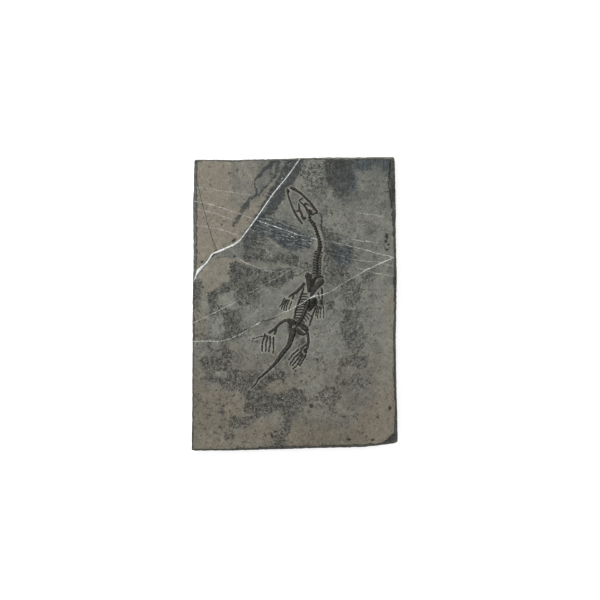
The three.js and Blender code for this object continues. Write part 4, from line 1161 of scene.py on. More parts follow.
def face_plan():
    """The face as a grid of plan points. A square grid has its four corners drawn in along ellipses, and
    is then stretched between the slab's left and right sides and between its bottom and top sides."""
    across, along = np.meshgrid(np.linspace(-1, 1, FACE_COLUMNS), np.linspace(-1, 1, FACE_ROWS))
    x0, y0 = across * HALF_WIDTH, along * HALF_LENGTH
    p = np.clip((np.abs(x0) - HALF_WIDTH + CORNER_RADIUS) / CORNER_RADIUS, 0, 1)
    q = np.clip((np.abs(y0) - HALF_LENGTH + CORNER_RADIUS) / CORNER_RADIUS, 0, 1)
    x0 = x0 - np.sign(x0) * CORNER_RADIUS * p * (1 - np.sqrt(1 - 0.5 * q**2))
    y0 = y0 - np.sign(y0) * CORNER_RADIUS * q * (1 - np.sqrt(1 - 0.5 * p**2))
    levels = (0.0, 40.0, 80.0, 120.0)
    ragged = [RAGGED_DEPTH * np.abs(layered_noise(x0, y0, level, RAGGED_SIZE, 3)) for level in levels]
    left = -HALF_WIDTH + np.interp(y0, *INSET_LEFT) + ragged[0]
    right = HALF_WIDTH - np.interp(y0, *INSET_RIGHT) - ragged[1]
    bottom = -HALF_LENGTH + np.interp(x0, *INSET_BOTTOM) + ragged[2]
    top = HALF_LENGTH - np.interp(x0, *INSET_TOP) - ragged[3]
    u = (x0 / HALF_WIDTH + 1) / 2
    v = (y0 / HALF_LENGTH + 1) / 2
    x = left + (right - left) * u
    y = bottom + (top - bottom) * v
    return x, y, (x - left, right - x, y - bottom, top - y)


def face_relief(x, y, gaps):
    """The face's height. It waves a little, falls at the broken rim by the 1.4th power of the share of
    the rim's width, is cut by the flakes' ellipsoids and dips at the pits and beside the thick vein."""
    sides = ((y, RIM_LEFT), (y, RIM_RIGHT), (x, RIM_BOTTOM), (x, RIM_TOP))
    z = THICKNESS + FACE_LEVEL + FACE_WAVE * layered_noise(x, y, 0.0, FACE_WAVE_SIZE, 5)
    share = np.ones_like(x)
    for gap, (place, widths) in zip(gaps, sides):
        width = np.interp(place, *widths)
        chipped = width * (1 + CHIP_SHARE * layered_noise(x, y, 9.0, CHIP_SIZE, 8))
        inside = np.clip(gap / chipped, 0, 1)
        fall = (RIM_FALL + RIM_FALL_SHARE * width) * (1 - inside) ** RIM_FALL_POWER
        bumps = RIM_BUMP * layered_noise(x, y, 2.0, RIM_BUMP_SIZE, 9) * (inside < 1)
        z = np.minimum(z, THICKNESS - fall + bumps)
        share = np.minimum(share, inside)
    for cx, cy, rx, ry, depth in FLAKES:
        bumps = FLAKE_BUMP_SHARE * layered_noise(x, y, 4.0, FLAKE_BUMP_SIZE, 12)
        radius = np.hypot((x - cx) / rx, (y - cy) / ry) + bumps
        bowl = THICKNESS + FLAKE_LIP - depth * np.sqrt(np.clip(1 - radius**2, 0, 1))
        z = np.where(radius < 1, np.minimum(z, bowl), z)
        share = np.minimum(share, np.clip(radius, 0, 1))
    pit = patches(x, y, [(*spot, 1.0) for spot in PITS])
    z = z - PIT_DEPTH * pit
    side, _ = path_field(x, y, MAIN_VEIN)
    z = z - VEIN_DIP * smooth(1 - np.abs(side - VEIN_DIP_REACH) / VEIN_DIP_REACH) * (share >= 1)
    return z, 1 - share, pit


def vein_field(x, y, points):
    """A thin vein's field on the face, as vectors: the signed distance to it, its strength, which is
    nothing past its two ends, and its width."""
    path = sketched(points)
    signed, place = path_field(x, y, path)
    order = np.arange(len(path))
    strength = np.interp(place, order, path[:, 3])
    beyond = ((place <= 0) | (place >= len(path) - 1)) & (np.abs(signed) > 0.8)
    strength = np.where(beyond | (np.abs(signed) > 4), 0.0, strength)
    return np.stack([signed, strength, np.interp(place, order, path[:, 2])], axis=-1)


def face_colours(x, y):
    """The face's colour masks, from the sketched areas and strands on plan points that noise has pushed
    about. The stains and the cream spots stay where they are drawn. The warm upper left corner ends at the
    thick vein, whose distance is given too."""
    wx = x + PATCH_SHIFT * layered_noise(x, y, 0.0, PATCH_SHIFT_SIZE, 21, 5)
    wy = y + PATCH_SHIFT * layered_noise(x, y, 0.0, PATCH_SHIFT_SIZE, 27, 5)
    side, _ = path_field(x, y, MAIN_VEIN)
    beyond_vein = np.where(y > 30, smooth(0.5 - side / 1.2), 1.0)
    upper, lower = areas(wx, wy, WARM_AREAS[:2]) * beyond_vein, areas(wx, wy, WARM_AREAS[2:])
    return {
        "warm": np.maximum(upper, lower),
        "brown": areas(wx, wy, BROWN_AREAS),
        "olive": areas(wx, wy, OLIVE_AREAS),
        "slate": areas(wx, wy, SLATE_AREAS),
        "slate_strand": strands(wx, wy, SLATE_STRANDS),
        "mottled": np.maximum(areas(wx, wy, MOTTLED_AREAS), strands(wx, wy, MOTTLED_STRANDS)),
        "pale": areas(wx, wy, PALE_AREAS),
        "sheared": areas(wx, wy, SHEARED_AREAS),
        "flecked": areas(wx, wy, FLECKED_AREAS),
        "stained": areas(x, y, STAINED_AREAS),
        "cream": patches(x, y, CREAM_SPOTS),
        "vein_gap": np.minimum(np.abs(side), FAR),
    }


def perimeter(grid):
    """A grid's edge as one loop: the bottom row, the right column, the top row back and the left column
    down."""
    return np.concatenate([grid[0, :-1], grid[:-1, -1], grid[-1, :0:-1], grid[:0:-1, 0]])


def slab_piece():
    """The slab as one closed surface. The face is a grid, rings carry its edge down the rough sides and
    turn under, and more rings shrink over the flat underside to one middle point."""
    x, y, gaps = face_plan()
    z, rim, pit = face_relief(x, y, gaps)
    masks = face_colours(x, y)
    masks["rim"] = smooth(rim * 1.6)
    masks["pit"] = pit
    masks["bone_gap"] = bone_distance(x, y)
    for name, points in {**THIN_VEINS, **CRACKS}.items():
        masks[name] = vein_field(x, y, points)
    face = np.stack([x, y, z], axis=-1)
    edge = perimeter(face)
    size = len(edge)
    ahead = np.roll(edge[:, :2], -3, axis=0) - np.roll(edge[:, :2], 3, axis=0)
    outward = np.stack([ahead[:, 1], -ahead[:, 0]], axis=1)
    outward /= np.hypot(outward[:, 0], outward[:, 1])[:, None]
    rings = []
    for drop in np.linspace(0, 1, SIDE_RINGS + 1)[1:]:
        level = edge[:, 2] * (1 - drop)
        rough = layered_noise(edge[:, 0], edge[:, 1], level * 1.3, SIDE_BUMP_SIZE, 31)
        ledges = layered_noise(edge[:, 0] * 0.25, edge[:, 1] * 0.25, level * 2.2, LEDGE_SIZE, 37)
        turn_under = TURN_UNDER * smooth((TURN_UNDER_HEIGHT - level) / TURN_UNDER_HEIGHT)
        push = smooth(drop * 5) * (SIDE_BUMP * rough + LEDGE_BUMP * ledges - SIDE_SET_BACK)
        push = push - turn_under * (0.7 + 0.3 * rough)
        plan = edge[:, :2] + outward * push[:, None]
        rings.append(np.column_stack([plan, level]))
    base = rings[-1]
    for share in np.linspace(1, 0, UNDERSIDE_RINGS + 1)[1:-1]:
        rings.append(np.column_stack([base[:, :2] * share, np.zeros(size)]))
    points = np.vstack([face.reshape(-1, 3), *rings, [[0.0, 0.0, 0.0]]])
    faces = grid_faces(FACE_ROWS, FACE_COLUMNS).tolist()
    index = np.arange(FACE_ROWS * FACE_COLUMNS).reshape(FACE_ROWS, FACE_COLUMNS)
    first_ring = perimeter(index)
    loops = [first_ring] + [index.size + k * size + np.arange(size) for k in range(len(rings))]
    for upper, lower in zip(loops[:-1], loops[1:]):
        quads = np.stack([upper, lower, np.roll(lower, -1), np.roll(upper, -1)], axis=1)
        faces.extend(quads.tolist())
    centre = len(points) - 1
    fan = np.stack([loops[-1], np.full(size, centre), np.roll(loops[-1], -1)], axis=1)
    faces.extend(fan.tolist())
    attributes = {}
    added = len(points) - index.size
    for name, values in masks.items():
        flat = values.reshape(index.size, -1)
        fill = {"rim": 1.0, "bone_gap": FAR, "vein_gap": FAR}.get(name, 0.0)
        padded = np.vstack([flat, np.full((added, flat.shape[1]), fill)])
        attributes[name] = padded if flat.shape[1] == 3 else padded[:, 0]
    return mesh_piece("limestone_slab", points, faces, attributes)


def vein_piece():
    """The thick vein as a low ridge: a half ellipse along its path, its width varied by noise, proud of
    the face by a quarter of a millimetre and about an eighth of its width, and rooted under it."""
    path = smooth_path(MAIN_VEIN, VEIN_STEP)
    length = arc_length(path)
    wander = VEIN_WANDER * layered_noise(length, 0.0, 0.0, VEIN_WANDER_SIZE, 61)
    path[:, 2] *= 1 + VEIN_SWELL_SHARE * layered_noise(length, 5.0, 0.0, VEIN_SWELL_SIZE, 62)
    direction = np.gradient(path[:, :2], axis=0)
    direction /= np.hypot(direction[:, 0], direction[:, 1])[:, None]
    middle = path[:, :2] + np.stack([-direction[:, 1], direction[:, 0]], axis=1) * wander[:, None]
    angle = np.linspace(0, 2 * np.pi, SECTION_POINTS, endpoint=False)[None, :]
    from_end = np.minimum(length, length[-1] - length)[:, None]
    half = 0.5 * path[:, 2:3] * np.clip(from_end / VEIN_END, 0.15, 1)
    across = np.cos(angle) * half
    rise = VEIN_RISE + VEIN_RISE_SHARE * path[:, 2:3]
    up = np.sin(angle) * np.where(np.sin(angle) > 0, rise, VEIN_ROOT)
    x = middle[:, 0:1] - direction[:, 1:2] * across
    y = middle[:, 1:2] + direction[:, 0:1] * across
    bumps = 1 + VEIN_BUMP_SHARE * layered_noise(x, y, 0.0, VEIN_BUMP_SIZE, 65)
    z = THICKNESS + VEIN_LEVEL + up * bumps
    return mesh_piece("calcite_vein", *together([closed_tube(np.stack([x, y, z], axis=2))]))


# Shader building blocks

def linear(colour):
    """A screen colour from 0 to 255 as linear light: ((c / 255 + 0.055) / 1.055)^2.4 for each channel."""
    channels = [((value / 255 + 0.055) / 1.055) ** 2.4 for value in colour]
    return (*channels, 1.0)


class Nodes:
    """A node tree with short calls for the nodes that the materials are made of."""

    def __init__(self, tree):
        self.tree = tree

    def add(self, kind, **settings):
        node = self.tree.nodes.new(kind)
        for key, value in settings.items():
            setattr(node, key, value)
        return node

    def feed(self, socket, value):
        if isinstance(value, bpy.types.NodeSocket):
            self.tree.links.new(value, socket)
        else:
            socket.default_value = value

    def math(self, operation, a, b=0.0, clamp=False):
        node = self.add("ShaderNodeMath", operation=operation, use_clamp=clamp)
        self.feed(node.inputs[0], a)
        self.feed(node.inputs[1], b)
        return node.outputs[0]

    def times(self, a, b, clamp=False):
        return self.math("MULTIPLY", a, b, clamp)

    def plus(self, a, b):
        return self.math("ADD", a, b)

    def minus(self, a, b, clamp=False):
        return self.math("SUBTRACT", a, b, clamp)

    def larger(self, a, b):
        return self.math("MAXIMUM", a, b)

    def mapped(self, value, low, high, to_low=0.0, to_high=1.0):
        node = self.add("ShaderNodeMapRange", interpolation_type="SMOOTHSTEP")
        for key, number in (("From Min", low), ("From Max", high), ("To Min", to_low), ("To Max", to_high)):
            self.feed(node.inputs[key], number)
        self.feed(node.inputs["Value"], value)
        return node.outputs["Result"]

    def mix(self, factor, a, b, blend="MIX"):
        node = self.add("ShaderNodeMix", data_type="RGBA", blend_type=blend)
        self.feed(node.inputs[0], factor)
        self.feed(node.inputs[6], a)
        self.feed(node.inputs[7], b)
        return node.outputs[2]

    def painted(self, colour, share, tint):
        return self.mix(share, colour, linear(tint))

    def noise(self, vector, scale, detail=4.0, roughness=0.55, distortion=0.0):
        node = self.add("ShaderNodeTexNoise")
        self.feed(node.inputs["Vector"], vector)
        self.feed(node.inputs["Scale"], scale)
        self.feed(node.inputs["Detail"], detail)
        self.feed(node.inputs["Roughness"], roughness)
        self.feed(node.inputs["Distortion"], distortion)
        return node.outputs["Fac"]

    def stretched(self, vector, angle, along, across=1.0):
        node = self.add("ShaderNodeMapping", vector_type="TEXTURE")
        self.feed(node.inputs["Vector"], vector)
        node.inputs["Rotation"].default_value = (0.0, 0.0, np.radians(angle))
        node.inputs["Scale"].default_value = (along, across, 1.0)
        return node.outputs["Vector"]

    def dots(self, vector, spacing, radius, share):
        node = self.add("ShaderNodeTexVoronoi", voronoi_dimensions="2D", feature="F1")
        self.feed(node.inputs["Vector"], vector)
        self.feed(node.inputs["Scale"], 1.0 / spacing)
        parts = self.add("ShaderNodeSeparateColor")
        self.feed(parts.inputs[0], node.outputs["Color"])
        chosen = self.math("LESS_THAN", parts.outputs[0], share)
        full = radius / spacing
        size = self.mapped(parts.outputs[1], 0.0, 1.0, 0.4 * full, full)
        near = self.mapped(self.minus(node.outputs["Distance"], size), 0.25 * full, 0.0)
        return self.times(near, chosen)

    def attribute(self, name, vector=False):
        node = self.add("ShaderNodeAttribute", attribute_name=name)
        return node.outputs["Vector" if vector else "Fac"]

    def millimetres(self):
        place = self.add("ShaderNodeTexCoord").outputs["Object"]
        node = self.add("ShaderNodeVectorMath", operation="SCALE")
        self.feed(node.inputs[0], place)
        node.inputs["Scale"].default_value = 1.0 / MM
        return node.outputs["Vector"]

    def group(self, group, **inputs):
        node = self.add("ShaderNodeGroup", node_tree=group)
        for key, value in inputs.items():
            self.feed(node.inputs[key], value)
        return node.outputs


def new_group(name, inputs, outputs):
    """An empty shader group with the named inputs and outputs. Returns it with its two end nodes."""
    group = bpy.data.node_groups.new(name, "ShaderNodeTree")
    for direction, sockets in (("INPUT", inputs), ("OUTPUT", outputs)):
        for label, kind in sockets.items():
            group.interface.new_socket(name=label, in_out=direction, socket_type=f"NodeSocket{kind}")
    nodes = Nodes(group)
    return group, nodes, nodes.add("NodeGroupInput").outputs, nodes.add("NodeGroupOutput").inputs


def grain_group():
    """Fine grain: two sizes of noise as one brightness near 1, and the same as a height."""
    sockets = {"Place": "Vector", "Size": "Float", "Strength": "Float"}
    group, n, given, out = new_group("fine_grain", sockets, {"Brightness": "Float", "Height": "Float"})
    fine = n.noise(given["Place"], n.math("DIVIDE", 1.0, given["Size"]), 3.0, 0.75)
    coarse = n.noise(given["Place"], n.math("DIVIDE", 0.3, given["Size"]), 3.0, 0.6)
    total = n.plus(n.times(fine, 0.65), n.times(coarse, 0.35))
    swing = n.times(n.minus(total, 0.5), given["Strength"])
    n.feed(out["Brightness"], n.larger(n.plus(swing, 1.0), 0.25))
    n.feed(out["Height"], total)
    return group


def blotch_group():
    """Ragged mottling. Noise raised by a patch mask and cut at a level gives the blotch. Winding curls
    lie in it where a second, twisted noise is near its middle, where a third is high, and along the
    blotch's own edge."""
    sockets = {"Place": "Vector", "Patch": "Float", "Scale": "Float"}
    group, n, given, out = new_group("ragged_blotch", sockets, {"Blotch": "Float", "Curls": "Float"})
    ragged = n.noise(given["Place"], given["Scale"], 3.0, 0.58, 0.9)
    raised = n.plus(ragged, n.times(given["Patch"], BLOTCH_RAISE))
    n.feed(out["Blotch"], n.mapped(raised, *BLOTCH_CUT))
    edge = n.mapped(n.math("ABSOLUTE", n.minus(raised, 0.642)), 0.032, 0.010)
    winding = n.noise(given["Place"], n.times(given["Scale"], 0.60), 1.0, 0.5, 1.4)
    thread = n.mapped(n.math("ABSOLUTE", n.minus(winding, 0.5)), 0.050, 0.018)
    lumps = n.mapped(n.noise(given["Place"], n.times(given["Scale"], 0.65), 2.0, 0.6, 1.4), 0.550, 0.580)
    inner = n.times(n.larger(thread, lumps), n.mapped(raised, 0.625, 0.660))
    shown = n.mapped(given["Patch"], 0.05, 0.6)
    n.feed(out["Curls"], n.larger(n.times(n.times(edge, shown), 0.7), inner))
    return group


def vein_group():
    """A thin line on the face from a vein's field: full where the wobbling distance is under half the
    width, broken up along its length by noise, times the vein's strength."""
    group, n, given, out = new_group("thin_vein", {"Place": "Vector", "Field": "Vector"}, {"Line": "Float"})
    parts = n.add("ShaderNodeSeparateXYZ")
    n.feed(parts.inputs[0], given["Field"])
    distance, strength, width = parts.outputs
    wobble = n.times(n.minus(n.noise(given["Place"], *LINE_WOBBLE_NOISE), 0.5), LINE_WOBBLE)
    apart = n.math("ABSOLUTE", n.plus(distance, wobble))
    uneven = n.mapped(n.noise(given["Place"], *LINE_WIDTH_NOISE), 0.35, 0.65, 0.15, 0.85)
    edge = n.times(width, uneven)
    line = n.mapped(apart, n.plus(edge, 0.15), n.times(edge, 0.4))
    broken = n.mapped(n.noise(given["Place"], *LINE_GAP_NOISE), 0.40, 0.56, 0.15, 1.0)
    bold = n.mapped(strength, 0.65, 1.0)
    whole = n.larger(broken, bold)
    n.feed(out["Line"], n.times(n.times(line, whole), strength))
    return group


FINE_GRAIN = grain_group()
RAGGED_BLOTCH = blotch_group()
THIN_VEIN = vein_group()


def new_material(name, roughness, specular):
    """A material with a Principled shader. Returns it with its nodes and that shader's inputs."""
    material = bpy.data.materials.new(name)
    material.use_nodes = True
    nodes = Nodes(material.node_tree)
    shader = next(node for node in material.node_tree.nodes if node.type == "BSDF_PRINCIPLED")
    shader.inputs["Roughness"].default_value = roughness
    shader.inputs["Specular IOR Level"].default_value = specular
    return material, nodes, shader.inputs


def bump(n, inputs, height, strength, distance):
    """Feeds a height in millimetres into the shader's normal."""
    node = n.add("ShaderNodeBump")
    n.feed(node.inputs["Height"], height)
    node.inputs["Strength"].default_value = strength
    node.inputs["Distance"].default_value = distance * MM
    n.feed(inputs["Normal"], node.outputs["Normal"])


def limestone_material():
    """Grey limestone: warm and slate tints, ragged dark mottling with darker curls in it, sheared
    streaks, pale halos and dark stains by the bones with painted shade at their foot, a broken rim painted
    dark as shade and paler as lit along its upper side, pits painted dark as shade, cracks and white veins,
    under a fine grain, specks and faint scratches."""
    material, n, inputs = new_material("limestone", 0.8, 0.25)
    place = n.millimetres()
    slate, strand = n.attribute("slate"), n.attribute("slate_strand")
    mottled, pale = n.attribute("mottled"), n.attribute("pale")
    sheared, rim, gap = n.attribute("sheared"), n.attribute("rim"), n.attribute("bone_gap")
    clouds = n.noise(place, *CLOUDS)
    fine_clouds = n.noise(place, *FINE_CLOUDS)

    # The ground and its tints
    colour = n.mix(n.mapped(clouds, 0.36, 0.64), linear(GREY_DARK), linear(GREY_GREEN))
    colour = n.painted(colour, n.mapped(fine_clouds, 0.40, 0.75, 0.0, 0.6), PALE_STONE)
    colour = n.painted(colour, n.mapped(fine_clouds, 0.48, 0.30, 0.0, 0.35), GREY_DARK)
    warm_share = n.times(n.attribute("warm"), n.mapped(fine_clouds, 0.2, 0.7, 0.75, 1.0), clamp=True)
    colour = n.painted(colour, warm_share, WARM_BROWN)
    brown_share = n.times(n.attribute("brown"), n.mapped(fine_clouds, 0.25, 0.7, 0.55, 1.0), clamp=True)
    colour = n.painted(colour, brown_share, OLIVE_BROWN)
    colour = n.painted(colour, n.times(n.attribute("olive"), fine_clouds, clamp=True), OLIVE_DARK)
    colour = n.painted(colour, n.times(pale, PALE_COVER, clamp=True), PALE_STONE)

    # Slate patches and strands
    slate_noise = n.noise(place, *SLATE_NOISE)
    slate_cut = n.mapped(n.plus(slate_noise, n.times(slate, 0.35)), 0.64, 0.73)
    colour = n.painted(colour, n.times(slate, SLATE_COVER, clamp=True), SLATE_BLUE)
    colour = n.painted(colour, n.times(slate_cut, n.times(slate, SLATE_PATCH_COVER), clamp=True), SLATE_BLUE)
    strand_noise = n.noise(place, *STRAND_NOISE)
    strand_cut = n.mapped(n.plus(strand_noise, n.times(strand, 0.32)), 0.66, 0.74)
    colour = n.painted(colour, n.times(strand, STRAND_COVER, clamp=True), SLATE_BLUE)
    colour = n.painted(colour, n.times(strand_cut, STRAND_PATCH_COVER), SLATE_BLACK)
    smear_noise = n.noise(n.stretched(place, SMEAR_TURN, SMEAR_LENGTH), *SMEAR_NOISE)
    smears = n.mapped(smear_noise, 0.50, 0.66, 0.0, 0.5)
    colour = n.painted(colour, n.times(smears, slate, clamp=True), GREY_GREEN)

    # Mottling
    anywhere = n.mapped(n.noise(place, *FAINT_MOTTLE_NOISE), 0.42, 0.62, 0.0, 0.18)
    patchy = n.larger(mottled, n.times(anywhere, n.minus(1.0, n.attribute("warm"), clamp=True)))
    blotch = n.group(RAGGED_BLOTCH, Place=place, Patch=patchy, Scale=BLOTCH_SCALE)
    held = n.minus(1.0, n.times(pale, 0.85), clamp=True)
    crumbs = n.mapped(n.noise(place, *CRUMB_NOISE), 0.44, 0.56, 0.20, 0.58)
    dark_share = n.times(n.times(blotch["Blotch"], held), crumbs, clamp=True)
    colour = n.painted(colour, dark_share, MOTTLE_DARK)
    curled = n.times(n.times(blotch["Curls"], held), CURL_COVER, clamp=True)
    colour = n.painted(colour, curled, MOTTLE_BLACK)
    light_grain = n.mapped(n.noise(place, *LIGHT_GRAIN_NOISE), 0.56, 0.66, 0.0, 0.5)
    light_share = n.times(light_grain, n.minus(blotch["Blotch"], slate, clamp=True))
    colour = n.painted(colour, light_share, PALE_STONE)

    # Sheared streaks, sloping down to the right
    streaks = n.noise(n.stretched(place, SHEAR_TURN, STREAK_LENGTH), *STREAK_NOISE)
    dark_cover = n.times(sheared, DARK_STREAK_COVER)
    dark_streak = n.times(n.mapped(streaks, 0.47, 0.56), dark_cover, clamp=True)
    colour = n.painted(colour, dark_streak, SLATE_BLACK)
    light_cover = n.times(sheared, LIGHT_STREAK_COVER)
    light_streak = n.times(n.mapped(streaks, 0.42, 0.36), light_cover, clamp=True)
    colour = n.painted(colour, light_streak, CALCITE_GREY)
    fleck_noise = n.noise(n.stretched(place, SHEAR_TURN, FLECK_LENGTH), *FLECK_NOISE)
    flecks = n.times(n.mapped(fleck_noise, 0.57, 0.66), n.attribute("flecked"), clamp=True)
    colour = n.painted(colour, n.times(flecks, FLECK_COVER), CALCITE)

    # Beside the bones
    halo_reach = n.mapped(n.noise(place, *HALO_NOISE), 0.3, 0.7, *HALO_REACH)
    darkened = n.larger(n.times(n.larger(slate, sheared), 0.9), n.attribute("stained"))
    halo = n.times(n.mapped(gap, halo_reach, HALO_FULL), n.minus(1.0, darkened, clamp=True))
    colour = n.painted(colour, n.times(halo, HALO_COVER), HALO_PALE)
    stain_noise = n.noise(place, *STAIN_NOISE)
    stained = n.times(n.attribute("stained"), n.mapped(stain_noise, 0.36, 0.58, 0.6, 1.0))
    colour = n.painted(colour, n.times(stained, STAIN_COVER, clamp=True), BONE_DARK)
    cream_share = n.times(n.attribute("cream"), n.mapped(fine_clouds, 0.3, 0.6, 0.5, 1.0))
    colour = n.painted(colour, cream_share, CREAM)
    # Painted shade: a dark ring on the stone at each bone's foot, where it meets the face
    uneven = n.mapped(n.noise(place, *FOOT_SHADE_NOISE), 0.3, 0.7, -0.25, 0.25)
    foot_shade = n.mapped(n.plus(gap, uneven), FOOT_SHADE_REACH, 0.0)
    colour = n.painted(colour, n.times(foot_shade, FOOT_SHADE_COVER), BONE_SHADE_BLACK)

    # Scratches, specks, and pits painted dark as shade
    scratch_noise = n.noise(n.stretched(place, SCRATCH_TURN, SCRATCH_LENGTH), *SCRATCH_NOISE)
    scratches = n.mapped(scratch_noise, 0.66, 0.74, 0.0, 0.25)
    colour = n.painted(colour, scratches, CALCITE_GREY)
    colour = n.painted(colour, n.times(n.dots(place, *DARK_SPECKS), DARK_SPECK_COVER), STAIN_AND_SHADE_BLACK)
    colour = n.painted(colour, n.times(n.dots(place, *LIGHT_SPECKS), LIGHT_SPECK_COVER), CALCITE)
    # The pits are painted dark as shade in their hollows
    colour = n.painted(colour, n.times(n.attribute("pit"), PIT_SHADE_COVER, clamp=True), STAIN_AND_SHADE_BLACK)

    # The broken rim: painted shade on its sloping stone and a painted dark line of shade at its brink
    rim_noise = n.noise(place, *RIM_NOISE)
    rim_colour_and_shade = n.mix(n.mapped(rim_noise, 0.36, 0.50), linear(STAIN_AND_SHADE_BLACK), linear(RIM_SHADE))
    rim_colour_and_shade = n.painted(rim_colour_and_shade, n.mapped(rim_noise, 0.52, 0.66, 0.0, 0.75), GREY_GREEN)
    bedding_noise = n.noise(n.stretched(place, 0, BEDDING_WIDTH, BEDDING_WIDTH), *BEDDING_NOISE)
    bedding = n.mapped(bedding_noise, 0.36, 0.62, 0.0, 0.6)
    rim_colour_and_shade = n.painted(rim_colour_and_shade, bedding, GREY_DARK)
    # The upper rim is painted paler, as lit by the lamp
    parts = n.add("ShaderNodeSeparateXYZ")
    n.feed(parts.inputs[0], place)
    rim_colour_and_shade = n.painted(rim_colour_and_shade, n.mapped(parts.outputs["Y"], *LIT_TOP_RIM, 0.0, 0.6), GREY_GREEN)
    colour = n.mix(n.mapped(rim, 0.02, 0.35), colour, rim_colour_and_shade)
    # Painted shade: a dark line where the face breaks over into the rim
    brink_shade = n.times(n.mapped(rim, 0.0, 0.12), n.mapped(rim, 0.5, 0.25))
    colour = n.painted(colour, n.times(brink_shade, n.mapped(rim_noise, 0.40, 0.54, 0.35, 1.0)), STAIN_AND_SHADE_BLACK)

    # Veins and cracks
    seam = n.plus(n.attribute("vein_gap"), n.mapped(n.noise(place, *SEAM_NOISE), 0.3, 0.7, -0.5, 0.9))
    colour = n.painted(colour, n.mapped(seam, *SEAM_REACH, 0.0, 0.35), CALCITE_GREY)
    lines = None
    for name in THIN_VEINS:
        line = n.group(THIN_VEIN, Place=place, Field=n.attribute(name, vector=True))["Line"]
        lines = line if lines is None else n.larger(lines, line)
    colour = n.painted(colour, n.times(lines, THIN_VEIN_COVER, clamp=True), CALCITE)
    for name in CRACKS:
        line = n.group(THIN_VEIN, Place=place, Field=n.attribute(name, vector=True))["Line"]
        colour = n.painted(colour, n.times(line, CRACK_COVER, clamp=True), STAIN_AND_SHADE_BLACK)

    # Grain and height
    rough_patch = n.plus(n.larger(patchy, slate), n.times(sheared, 0.8))
    grain_strength = n.plus(2.0, n.times(rough_patch, 1.8))
    grain = n.group(FINE_GRAIN, Place=place, Size=1.3, Strength=grain_strength)
    colour = n.mix(1.0, colour, grain["Brightness"], "MULTIPLY")
    n.feed(inputs["Base Color"], colour)
    n.feed(inputs["Roughness"], n.mapped(fine_clouds, 0.3, 0.7, 0.72, 0.88))
    height = n.plus(grain["Height"], n.times(blotch["Blotch"], -0.25))
    height = n.plus(height, n.times(rim, n.noise(place, *RIM_HEIGHT_NOISE)))
    bump(n, inputs, height, 0.7, 0.4)
    return material


def calcite_material():
    """White calcite: cloudy white broken by grey, with small sharp grains."""
    material, n, inputs = new_material("calcite", 0.45, 0.5)
    place = n.millimetres()
    clouds = n.noise(place, *CALCITE_CLOUDS)
    colour = n.mix(n.mapped(clouds, 0.40, 0.56), linear(CALCITE_GREY), linear(CALCITE))
    stained = n.mapped(n.noise(place, *CALCITE_STAINS), 0.58, 0.72, 0.0, 0.6)
    colour = n.painted(colour, stained, GREY_DARK)
    grain = n.group(FINE_GRAIN, Place=place, Size=0.6, Strength=0.9)
    n.feed(inputs["Base Color"], n.mix(1.0, colour, grain["Brightness"], "MULTIPLY"))
    bump(n, inputs, grain["Height"], 0.6, 0.2)
    return material


def bone_material():
    """Mineralised bone, dark, painted by its height: black towards its foot as painted shade and brown on
    its crown as a painted highlight, with paler worn spots, a fibrous, finely pitted skin and the white vein
    where it runs across."""
    material, n, inputs = new_material("fossil_bone", 0.6, 0.3)
    place = n.millimetres()
    clouds = n.noise(place, *BONE_CLOUDS)
    # The bone's height paints it: black at its foot as painted shade, brown on its crown as a painted
    # highlight
    lit_crown = n.plus(n.attribute("lit_crown"), n.mapped(clouds, 0.3, 0.7, -0.3, 0.3))
    colour = n.mix(n.mapped(lit_crown, 0.25, 0.75), linear(BONE_SHADE_BLACK), linear(BONE_DARK))
    colour = n.painted(colour, n.mapped(lit_crown, 0.65, 1.05), BONE_CROWN_HIGHLIGHT)
    worn = n.mapped(n.noise(place, *BONE_WEAR), 0.56, 0.66, 0.0, 0.6)
    colour = n.painted(colour, worn, BONE_PALE)
    line = n.group(THIN_VEIN, Place=place, Field=n.attribute("vein_long", vector=True))["Line"]
    colour = n.painted(colour, n.times(line, VEIN_ON_BONE_COVER, clamp=True), CALCITE)
    grain = n.group(FINE_GRAIN, Place=place, Size=0.9, Strength=3.0)
    n.feed(inputs["Base Color"], n.mix(1.0, colour, grain["Brightness"], "MULTIPLY"))
    n.feed(inputs["Roughness"], n.mapped(clouds, 0.3, 0.7, 0.5, 0.7))
    bump(n, inputs, grain["Height"], 0.8, 0.3)
    return material


def floor_material():
    """A lit white table, so that nothing on it throws a dark shadow."""
    material, n, inputs = new_material("light_table", 0.95, 0.0)
    fibre = n.mapped(n.noise(n.millimetres(), *TABLE_FIBRE), 0.3, 0.7, 0.0, 0.02)
    n.feed(inputs["Base Color"], n.mix(fibre, linear(FLOOR_WHITE), linear(CALCITE)))
    inputs["Emission Color"].default_value = linear(FLOOR_WHITE)
    inputs["Emission Strength"].default_value = TABLE_GLOW
    return material


# The floor, the light and the camera, in metres and watts, with the lens and the sensor in millimetres
FLOOR_HALF = 3.0
TABLE_GLOW = 0.6
KEY_PLACE = (-0.9, 0.9, 1.1)
KEY_POWER = 24.0
KEY_SIZE = 0.5
SKY_STRENGTH = 0.62
VIEW_WIDTH = 0.510
VIEW_CENTRE = (0.0047, 0.0034)
LENS = 100.0
SENSOR = 36.0


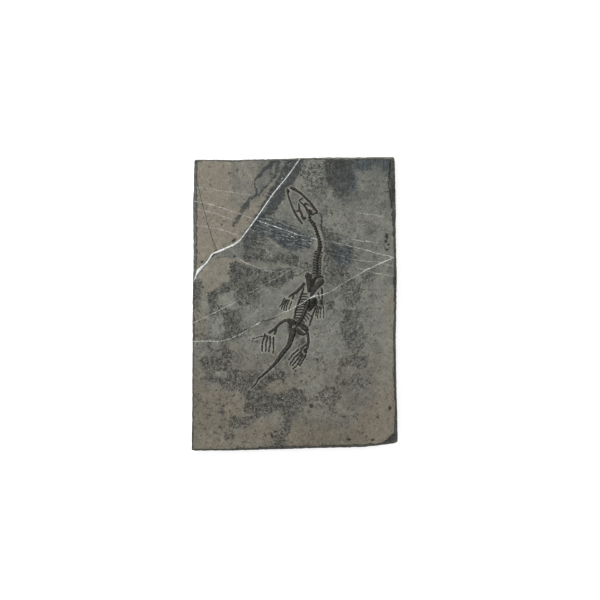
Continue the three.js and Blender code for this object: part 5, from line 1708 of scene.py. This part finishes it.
def add_floor():
    """A flat square that the slab lies on."""
    mesh = bpy.data.meshes.new("floor")
    corners = FLOOR_HALF * np.array([(-1, -1, 0), (1, -1, 0), (1, 1, 0), (-1, 1, 0)], float)
    mesh.from_pydata(corners.tolist(), [], [(0, 1, 2, 3)])
    floor = bpy.data.objects.new("floor", mesh)
    floor.data.materials.append(floor_material())
    bpy.context.scene.collection.objects.link(floor)


def add_light():
    """One broad soft lamp from the upper left, and an even white sky."""
    lamp_data = bpy.data.lights.new("key", "AREA")
    lamp_data.energy = KEY_POWER
    lamp_data.size = KEY_SIZE
    lamp = bpy.data.objects.new("key", lamp_data)
    lamp.location = KEY_PLACE
    lamp.rotation_euler = (-lamp.location).to_track_quat("-Z", "Y").to_euler()
    bpy.context.scene.collection.objects.link(lamp)
    world = bpy.data.worlds.new("sky")
    world.use_nodes = True
    sky = world.node_tree.nodes["Background"]
    sky.inputs["Color"].default_value = (1.0, 1.0, 1.0, 1.0)
    sky.inputs["Strength"].default_value = SKY_STRENGTH
    bpy.context.scene.world = world


def add_camera():
    """A camera straight above the slab, with +Y up in the picture. The view's width on the face sets its
    height."""
    camera_data = bpy.data.cameras.new("camera")
    camera_data.lens = LENS
    camera_data.sensor_width = SENSOR
    camera = bpy.data.objects.new("camera", camera_data)
    height = VIEW_WIDTH * LENS / SENSOR + THICKNESS * MM
    camera.location = (VIEW_CENTRE[0], VIEW_CENTRE[1], height)
    bpy.context.scene.collection.objects.link(camera)
    bpy.context.scene.camera = camera


# Putting the piece together
LIMESTONE = limestone_material()
CALCITE_WHITE = calcite_material()
FOSSIL_BONE = bone_material()

bones = build_bone_shells()
for node_name, shells in bones.items():
    bone_points, bone_faces = together(shells)
    bone_masks = {
        # A bone's height, from which its painted shade and highlight are drawn
        "lit_crown": np.clip((bone_points[:, 2] - THICKNESS) / RELIEF_COLUMN, 0, 1),
        "vein_long": vein_field(bone_points[:, 0], bone_points[:, 1], THIN_VEINS["vein_long"]),
    }
    bone = mesh_piece(f"bone_{node_name}", bone_points, bone_faces, bone_masks)
    bone.data.materials.append(FOSSIL_BONE)
    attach(bone, "root")
    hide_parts(node_name)

slab = slab_piece()
slab.data.materials.append(LIMESTONE)
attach(slab, "root")
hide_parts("slab")

vein = vein_piece()
vein.data.materials.append(CALCITE_WHITE)
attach(vein, "root")

add_floor()
add_light()
add_camera()
bpy.context.scene.view_settings.view_transform = "Standard"
